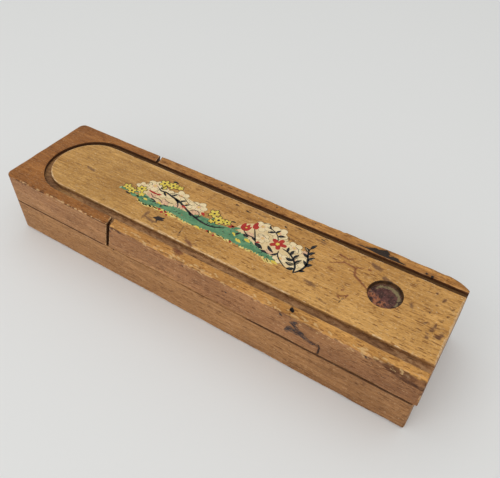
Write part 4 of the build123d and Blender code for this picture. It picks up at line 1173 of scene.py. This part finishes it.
ink_cream = print_ink("print_cream", (216, 188, 138), (232, 206, 160), 1.0, 0.30)
ink_ivory = print_ink("print_ivory", (228, 204, 156), (238, 216, 174), 1.4, 0.25)
ink_pink = print_ink("print_pink", (218, 172, 136), (228, 186, 150), 2.0, 0.45)
ink_green = print_ink("print_green", (80, 126, 90), (108, 152, 112), 3.0, 0.55)
ink_mint = print_ink("print_pale_green", (150, 176, 140), (172, 190, 152), 3.6, 0.8)
ink_yellow = print_ink("print_yellow", (214, 188, 70), (230, 206, 98), 4.0, 0.35)
ink_straw = print_ink("print_straw", (222, 194, 108), (230, 206, 132), 4.5, 0.7)
ink_red = print_ink("print_red", (160, 44, 38), (184, 58, 46), 5.0, 0.35)
ink_black = print_ink("print_black", (30, 32, 34), (44, 44, 44), 6.0, 0.25)

rng = np.random.default_rng(5)
# pale grounds behind the blossoms
def rows(spec):
    return [flower(x, y, r, n, dp, ph, sy, tl, 60) for x, y, r, n, dp, ph, sy, tl in spec]


def grown(spec, k):
    return [(x, y, r + k, n, dp * 0.94, ph, sy, tl) for x, y, r, n, dp, ph, sy, tl in spec]


def folds(spec, a, b, w):
    """Short creases running out from the heart of each blossom, one between each two petals."""
    out = []
    for x, y, r, n, dp, ph, sy, tl in spec:
        c, s = math.cos(math.radians(tl)), math.sin(math.radians(tl))
        for k in range(n):
            t = (2 * math.pi * k + math.pi - ph) / n
            pts = []
            for f in (a, 0.5 * (a + b), b):
                u, v = r * f * math.cos(t + 0.12 * (f - a)), r * f * math.sin(t + 0.12 * (f - a)) * sy
                pts.append((x + u * c - v * s, y + u * s + v * c))
            out.append(stroke(pts, [w, w * 0.8, w * 0.3], 3))
    return out


# large pale blossoms, each with a fine dark outline, on a pale ground
big_back = [
    (-39.4, 5.6, 5.0, 5, 0.30, 0.3, 0.84, 8), (-24.0, 6.2, 4.5, 5, 0.30, 1.9, 0.80, -6), (-12.2, 4.4, 4.6, 5, 0.30, 0.8, 0.82, 12),
    (20.2, 9.4, 4.3, 5, 0.30, 1.2, 0.78, 10), (38.8, 5.2, 4.2, 5, 0.30, 0.5, 0.80, -12), (43.4, -1.6, 5.0, 5, 0.28, 2.2, 0.86, 15),
]
big_front = [
    (-44.6, 2.2, 3.4, 5, 0.32, 2.5, 0.86, 0), (-31.4, 4.0, 4.6, 5, 0.30, 1.0, 0.80, -10), (-18.2, 3.2, 3.7, 5, 0.32, 2.6, 0.80, 4),
    (28.4, 9.4, 4.9, 5, 0.30, 0.2, 0.84, -8), (24.0, 3.0, 3.5, 5, 0.32, 0.9, 0.82, 6), (36.6, -3.4, 3.8, 5, 0.32, 1.5, 0.80, 4),
]
cream = [
    catmull([(-45.6, -0.4), (-44.0, 4.4), (-40.6, 7.6), (-36.6, 6.6), (-33.4, 6.0), (-29.2, 6.6), (-24.6, 7.6), (-20.4, 6.8), (-16.2, 6.2),
             (-12.4, 6.2), (-8.8, 4.2), (-8.2, 0.8), (-12.0, -1.0), (-20.0, -1.6), (-28.0, -3.0), (-36.0, -3.6), (-42.4, -2.6)]),
    catmull([(10.4, 2.4), (11.6, 5.8), (14.8, 8.4), (18.2, 10.3), (23.2, 11.4), (27.8, 11.4), (31.8, 9.8), (35.4, 7.0), (39.4, 6.6),
             (44.6, 4.8), (47.6, 2.6), (47.2, -2.4), (46.6, -5.6), (43.2, -6.6), (36.4, -5.6), (31.0, -4.4), (25.4, -3.2), (19.0, -1.0), (13.6, 0.6)]),
]
plate("print_cream_ground", cream, 36.018, ink_cream)
mint = [stroke([(-53.6, -4.6), (-51.0, -3.0), (-48.8, -3.4)], [0.5, 0.9, 0.5])]
plate("print_pale_edge", mint, 36.016, ink_mint)
pale_pink = [
    (-36.4, -1.2, 3.1, 5, 0.34, 0.6, 0.62, 4), (-28.0, -1.6, 3.0, 5, 0.34, 1.9, 0.62, -4), (-20.4, -0.4, 2.8, 5, 0.34, 0.2, 0.62, -4),
    (-11.6, 0.4, 2.8, 5, 0.34, 1.2, 0.66, 4), (17.8, 1.8, 2.3, 5, 0.34, 0.8, 0.70, 0), (30.6, -2.6, 2.3, 5, 0.34, 1.4, 0.62, 0),
    (44.6, 5.0, 2.0, 5, 0.34, 0.4, 0.8, 0),
]
plate("print_petal_outlines_back", rows(grown(big_back, 0.15)), 36.0205, ink_black)
plate("print_pale_blossoms_back", rows(big_back), 36.023, ink_ivory)
plate("print_petal_outlines_front", rows(grown(big_front, 0.15)), 36.0255, ink_black)
plate("print_pale_blossoms_front", rows(big_front), 36.028, ink_ivory)
plate("print_petal_outlines_pink", rows(grown(pale_pink, 0.12)), 36.0305, ink_black)
pink = rows(pale_pink) + rows([(x, y, r * 0.30, 5, 0.2, ph, sy, tl) for x, y, r, n, dp, ph, sy, tl in big_back + big_front])
plate("print_petal_creases", folds(big_back + big_front, 0.36, 0.66, 0.085) + folds(pale_pink, 0.3, 0.62, 0.08), 36.0345, ink_black)
plate("print_pink_petals", pink, 36.033, ink_pink)
plate("print_blossom_centres", rows([(x, y, r * 0.13, 5, 0.4, ph, sy, tl) for x, y, r, n, dp, ph, sy, tl in big_back + big_front]), 36.0355, ink_yellow)

# straw and yellow fringe under the grass
straw = []
for cx in np.arange(-39.0, 34.5, 1.55):
    base_y = np.interp(cx, [-41, -35, -29, -23, -16, -9.7, -3.5, 2.6, 9.7, 16, 21, 27, 33], [-6.6, -7.4, -6.9, -6.2, -6.2, -6.9, -6.5, -6.1, -6.2, -6.4, -6.3, -6.2, -7.2])
    r1, r2, r3, r4 = rng.uniform(0, 1, 4)
    if r1 < 0.16:
        continue
    cx2, cy = cx + (r2 - 0.5) * 1.4, base_y + 0.35 - 0.9 * r3
    ln, an = 1.0 + 1.9 * r4, rng.uniform(-0.75, 0.35)
    straw.append(leaf(cx2 - ln * math.cos(an), cy - ln * math.sin(an), cx2 + ln * math.cos(an), cy + ln * math.sin(an), 0.45 + 0.45 * r2, rng.uniform(-0.35, 0.35), 6))
plate("print_straw_fringe", straw, 36.036, ink_straw)

green = [
    ragged([(-42.0, -2.6), (-38.4, -2.4), (-35.4, -3.2), (-30.6, -4.4), (-26.0, -3.4), (-22.4, -2.2), (-17.6, -1.4), (-12.0, -1.4), (-7.8, -0.4),
            (-4.0, 0.2), (1.2, -1.2), (6.0, 0.2), (10.8, 0.6), (15.0, 0.0), (19.8, -1.6), (25.0, -3.2), (30.0, -4.2), (35.6, -5.8)],
           [(-42.4, -4.6), (-38.6, -6.6), (-35.0, -6.9), (-30.4, -6.1), (-25.2, -5.4), (-19.6, -5.4), (-14.2, -6.2), (-9.4, -6.7), (-4.0, -6.1),
            (2.4, -5.5), (9.4, -5.6), (16.4, -5.9), (22.6, -5.8), (28.2, -5.9), (35.8, -6.5)], rng, 1.1, 1.3, 0.75),
    leaf(-52.8, -4.2, -47.6, -4.0, 0.9, 0.4), leaf(-46.4, -4.6, -40.6, -5.0, 1.0, -0.3), leaf(-47.4, -3.2, -43.0, -2.6, 0.7, 0.3),
    leaf(-3.0, 0.0, 2.4, 3.0, 0.8, 0.4), leaf(8.4, 1.0, 12.6, 3.4, 0.8, -0.3),
]
plate("print_green_grass", green, 36.044, ink_green)

# yellow blossoms: each has a dark rim under it and a brown heart on it
heads = [
    (-50.6, -1.9, 2.3, 5, 0.4, 0.86, 10), (-46.8, -3.1, 2.5, 5, 1.7, 0.80, -12), (-43.4, 0.3, 2.7, 6, 0.9, 0.90, 20), (-40.9, -2.9, 1.8, 5, 2.2, 0.80, 0),
    (-36.6, 9.5, 2.7, 5, 0.2, 0.95, 8), (-31.9, 10.3, 2.8, 6, 1.2, 0.90, -10), (-27.9, 10.7, 1.8, 5, 2.0, 0.80, 10), (-34.6, 6.8, 1.5, 5, 1.0, 0.80, 0),
    (-3.3, 4.7, 2.7, 5, 0.5, 1.00, 15), (0.9, 2.0, 3.0, 6, 1.4, 0.90, -8), (5.0, 2.9, 2.1, 5, 2.4, 0.85, 12), (-1.6, -0.2, 1.6, 5, 0.0, 0.80, 0),
]
yellow = [flower(x, y, r, n, 0.46, ph, sy, tl) for x, y, r, n, ph, sy, tl in heads]
yellow += [
    leaf(13.8, -3.6, 17.4, -4.8, 0.8, 0.1), leaf(17.2, -1.6, 20.8, -2.6, 0.8, 0.2), leaf(10.6, -1.0, 13.0, -2.6, 0.6, 0.1),
    leaf(-38.4, -4.6, -35.6, -4.9, 0.6, 0.2), leaf(-30.8, -2.8, -28.0, -3.6, 0.5, -0.1), leaf(33.8, -6.6, 37.6, -7.2, 0.7, 0.2),
    leaf(-27.6, -6.4, -24.8, -7.4, 0.6, 0.1), leaf(-22.4, -6.8, -19.6, -7.9, 0.6, 0.1), leaf(-6.2, -6.6, -2.6, -7.6, 0.5, 0.1),
    flower(31.4, 3.4, 0.95, 5, 0.3, 0.4), flower(14.2, 4.8, 0.5, 5, 0.3),
]
rims = [flower(x, y, r + 0.38, n, 0.36, ph, sy, tl) for x, y, r, n, ph, sy, tl in heads]
plate("print_blossom_rims", rims, 36.048, ink_black)
plate("print_yellow_blossoms", yellow[:-2], 36.053, ink_yellow)
plate("print_flower_hearts", yellow[-2:], 36.066, ink_yellow)

red = [
    leaf(-40.2, 1.6, -33.4, 1.4, 0.55, -0.3), leaf(-34.6, 0.6, -32.4, 2.0, 0.6, 0.2), leaf(-19.6, 0.9, -16.6, 0.3, 0.6, 0.2),
    leaf(-9.0, 2.2, -6.4, 0.8, 0.75, 0.2), flower(-26.8, -6.6, 0.75, 4, 0.2), flower(-24.8, -7.6, 0.8, 4, 0.2), flower(-23.2, -6.7, 0.6, 4, 0.2),
    flower(-21.6, -8.0, 0.6, 4, 0.2), flower(0.4, -6.6, 0.55, 4, 0.2), flower(4.4, -7.4, 0.6, 4, 0.2), flower(13.0, -6.6, 0.6, 4, 0.2),
    leaf(6.8, 0.6, 9.4, 2.6, 0.65, 0.0), leaf(7.4, 2.8, 9.8, 1.6, 0.5, 0.0),
    # tulips on the pale ground
    catmull([(12.0, 3.4), (11.6, 5.8), (12.6, 7.4), (13.6, 6.0), (14.6, 7.6), (15.4, 6.0), (16.2, 6.6), (16.0, 3.8), (14.2, 2.6)]),
    catmull([(16.6, 6.4), (16.0, 8.8), (17.2, 10.6), (18.0, 8.8), (19.0, 8.2), (18.6, 6.2)]),
    # five-petalled blossom
    flower(31.6, 3.6, 4.0, 5, 0.52, 0.6, 0.86, 12),
    leaf(22.6, -0.9, 24.6, 0.1, 0.5, 0.2),
]
plate("print_red_petals", red, 36.063, ink_red)

black = [
    # twig across the left half
    stroke([(-38.4, 6.2), (-34.6, 4.2), (-31.8, 4.6), (-27.0, 3.6), (-22.6, 2.8), (-18.4, 1.0), (-14.0, -0.8), (-9.6, -2.2), (-5.0, -3.2), (-0.6, -3.3), (3.4, -2.0), (6.6, 0.4)],
           [0.26, 0.38, 0.46, 0.54, 0.50, 0.52, 0.46, 0.42, 0.2], 6),
    stroke([(-30.2, 4.2), (-28.0, 5.8), (-25.2, 6.4)], [0.16, 0.2, 0.12]), stroke([(-24.6, 3.2), (-21.6, 0.6), (-20.4, -1.4)], [0.2, 0.3, 0.15]),
    stroke([(-26.4, 6.2), (-22.0, 6.0), (-18.6, 4.2), (-15.6, 3.4)], [0.1, 0.14, 0.1]), stroke([(-14.6, -0.4), (-12.2, 1.8), (-9.6, 1.2), (-8.6, -0.6)], [0.12, 0.18, 0.12]),
    leaf(-25.8, 3.2, -21.4, 1.4, 0.65, 0.3), leaf(-18.8, 1.4, -16.4, 3.6, 0.55, 0.1), leaf(-33.0, 4.4, -29.8, 2.2, 0.55, -0.1), leaf(-22.0, 2.6, -19.4, 5.0, 0.6, 0.2),
    leaf(-14.0, -0.8, -11.2, -2.6, 0.5, -0.2), leaf(-9.6, -2.2, -7.0, -0.4, 0.5, 0.2), leaf(-28.0, 3.8, -25.8, 6.2, 0.5, 0.1), leaf(-36.0, 5.0, -34.4, 7.4, 0.45, 0.1),
    # thin petal lines on the pale and pink grounds
    stroke([(-44.8, 4.6), (-42.4, 6.6), (-41.0, 5.2)], [0.09, 0.12, 0.08]), stroke([(-37.6, 0.2), (-34.8, -1.4), (-31.2, -1.2), (-28.4, -2.6)], [0.14, 0.2, 0.14]),
    stroke([(-29.6, 0.6), (-26.6, -0.6), (-23.4, -0.2)], [0.1, 0.16, 0.1]), stroke([(-17.0, 6.6), (-13.6, 5.4), (-11.0, 5.8)], [0.08, 0.12, 0.08]),
    leaf(-35.6, -2.8, -31.6, -3.4, 0.42, 0.15), leaf(-27.4, -3.2, -24.2, -3.0, 0.34, -0.1),
    # blossom hearts
    flower(-50.6, -1.9, 0.55, 5, 0.3), flower(-46.8, -3.1, 0.65, 5, 0.3), flower(-43.4, 0.3, 0.70, 5, 0.3), flower(-36.6, 9.5, 0.65, 5, 0.3),
    flower(-31.9, 10.3, 0.70, 5, 0.3), flower(-3.3, 4.7, 0.65, 5, 0.3), flower(0.9, 2.0, 0.75, 5, 0.3), flower(5.0, 2.9, 0.5, 5, 0.3),
    leaf(-34.2, 13.0, -30.6, 13.2, 0.62, 0.1), leaf(-49.0, -5.2, -45.4, -5.6, 0.4, -0.1), leaf(6.2, 4.6, 8.6, 5.0, 0.45, 0.1),
    # grass shadows
    leaf(-38.8, -3.6, -36.2, -3.0, 0.36, 0.1), leaf(-33.2, -4.6, -31.4, -3.4, 0.5, 0.1), leaf(-28.2, -5.2, -26.8, -4.2, 0.4, 0.1),
    leaf(12.4, -1.8, 14.0, 0.6, 0.6, 0.2), leaf(15.2, 0.6, 18.6, 0.2, 0.75, -0.2), leaf(19.4, 1.0, 22.6, -0.6, 0.65, 0.25),
    leaf(22.4, -1.4, 27.4, -2.9, 1.0, 0.3), leaf(26.8, -3.6, 30.6, -4.0, 0.65, 0.2),
    # tulip stems and leaves, right half
    stroke([(17.6, 6.4), (19.4, 3.8), (21.0, 1.4), (22.8, -1.2)], [0.18, 0.3, 0.34, 0.2]), stroke([(14.0, 2.8), (16.8, 1.2), (20.0, 1.2)], [0.2, 0.34, 0.24]),
    # a leafy sprig above the red blossom
    stroke([(30.6, 5.2), (28.6, 8.0), (25.4, 9.8), (22.2, 10.2)], [0.24, 0.26, 0.2, 0.12]),
    leaf(29.0, 7.4, 32.4, 9.2, 0.75, 0.25), leaf(27.2, 8.8, 28.6, 11.6, 0.62, 0.2), leaf(26.8, 9.0, 23.8, 7.4, 0.7, -0.2), leaf(24.4, 9.9, 22.6, 11.8, 0.5, 0.15),
    # two leafy sprigs rising from one foot at the right
    stroke([(45.2, -7.8), (44.4, -4.4), (41.6, -0.8), (38.0, 1.4), (34.4, 2.2)], [0.3, 0.46, 0.42, 0.34, 0.2], 8),
    stroke([(45.2, -7.8), (47.4, -4.2), (47.8, 0.0), (46.2, 3.8), (44.8, 7.2), (45.2, 9.6)], [0.3, 0.46, 0.46, 0.42, 0.34, 0.2], 8),
    leaf(44.6, -5.2, 41.2, -7.0, 0.85, 0.3, 9), leaf(43.6, -3.2, 39.4, -4.0, 0.95, 0.4, 9), leaf(42.2, -1.4, 38.2, -1.6, 0.90, 0.4, 9),
    leaf(43.6, -3.2, 45.0, 0.6, 0.90, 0.4, 9), leaf(41.8, -0.9, 42.6, 2.8, 0.90, 0.3, 9), leaf(39.4, 0.8, 39.6, 4.0, 0.80, 0.2, 9), leaf(37.4, 1.6, 36.6, 4.6, 0.65, 0.1, 9),
    leaf(46.6, -5.6, 49.2, -4.4, 0.70, 0.2, 9), leaf(47.8, -1.8, 50.2, 0.8, 0.85, 0.3, 9), leaf(47.2, 1.6, 49.2, 4.8, 0.85, 0.3, 9), leaf(45.8, 4.8, 47.8, 7.8, 0.80, 0.3, 9),
    leaf(47.8, -1.4, 45.4, 1.0, 0.70, -0.3, 9), leaf(46.4, 3.2, 43.2, 4.6, 0.75, -0.3, 9), leaf(45.2, 6.2, 42.2, 8.4, 0.75, -0.3, 9), leaf(45.0, 8.6, 46.4, 12.2, 0.80, 0.2, 9),
    stroke([(33.8, 0.2), (34.8, -2.4), (37.4, -4.8), (41.2, -7.0)], [0.2, 0.30, 0.28, 0.16], 6),
    leaf(28.2, 0.4, 32.4, -2.2, 0.75, -0.3, 9), leaf(34.4, -1.4, 31.8, -4.0, 0.6, 0.2, 9),
    stroke([(38.8, 6.2), (41.0, 5.0), (41.6, 3.2)], [0.08, 0.12, 0.08]), stroke([(18.6, 11.2), (21.4, 12.2), (24.0, 12.4)], [0.07, 0.11, 0.07]),
    stroke([(33.0, 10.4), (34.4, 8.2), (33.8, 6.6)], [0.07, 0.11, 0.07]), stroke([(20.6, 3.2), (22.8, 4.6), (25.2, 4.0)], [0.07, 0.11, 0.07]),
]
for k in range(70):
    gx = rng.uniform(-40, 33)
    gy = np.interp(gx, [-41, -35, -29, -16, -3, 10, 21, 33], [-4.2, -5.2, -5.0, -3.6, -2.8, -2.6, -3.8, -5.6]) + rng.uniform(-1.2, 1.6)
    black.append(leaf(gx, gy, gx + rng.uniform(0.3, 0.9), gy + rng.uniform(0.3, 1.0), rng.uniform(0.10, 0.2), 0.0, 5))
plate("print_dark_stems", black, 36.060, ink_black)
veins = [stroke(p, [0.05, 0.09, 0.04], 4) for p in (
    [(43.4, -3.3), (41.6, -3.8), (40.2, -3.9)], [(43.7, -2.6), (44.6, -1.0), (44.9, -0.2)],
    [(41.9, -0.3), (42.6, 1.0), (42.6, 2.2)], [(47.6, 1.9), (48.6, 3.4), (49.0, 4.2)], [(44.9, 6.5), (43.6, 7.6), (42.7, 8.0)])]
plate("print_leaf_veins", veins, 36.067, ink_cream)


# =====================================================================
# steel pivot screw (the CAD shape, with a finish)
# =====================================================================
g = Graph("dull_steel")
n = g.noise(g.stretch(0.9, 0.9, 0.9), 4.0, 0.6)
scr_n = g.noise(g.stretch(3.2, 0.5, 3.2, (2, 5, 1)), 3.0, 0.6)
rustm = g.band(g.noise(g.stretch(0.55, 0.55, 0.55, (7, 1, 3)), 4.0, 0.65), 0.55, 0.70)
c = g.mix(g.band(n, 0.3, 0.7), srgb(112, 108, 102), srgb(158, 154, 146))
c = g.mix(g.mul(rustm, 0.7), c, srgb(104, 68, 44))
g.put(g.bsdf.inputs["Base Color"], c)
g.bsdf.inputs["Metallic"].default_value = 0.9
g.put(g.bsdf.inputs["Roughness"], g.add(0.36, g.mul(scr_n, 0.18), g.mul(rustm, 0.25)))
g.put(g.bsdf.inputs["Normal"], g.bump(g.add(g.mul(scr_n, 0.5), g.mul(rustm, 0.5)), 0.00004, 0.6))
screw_me = NODES["pivot_screw"].data
screw_me.materials.clear()
screw_me.materials.append(g.mat)

bpy.context.view_layer.update()
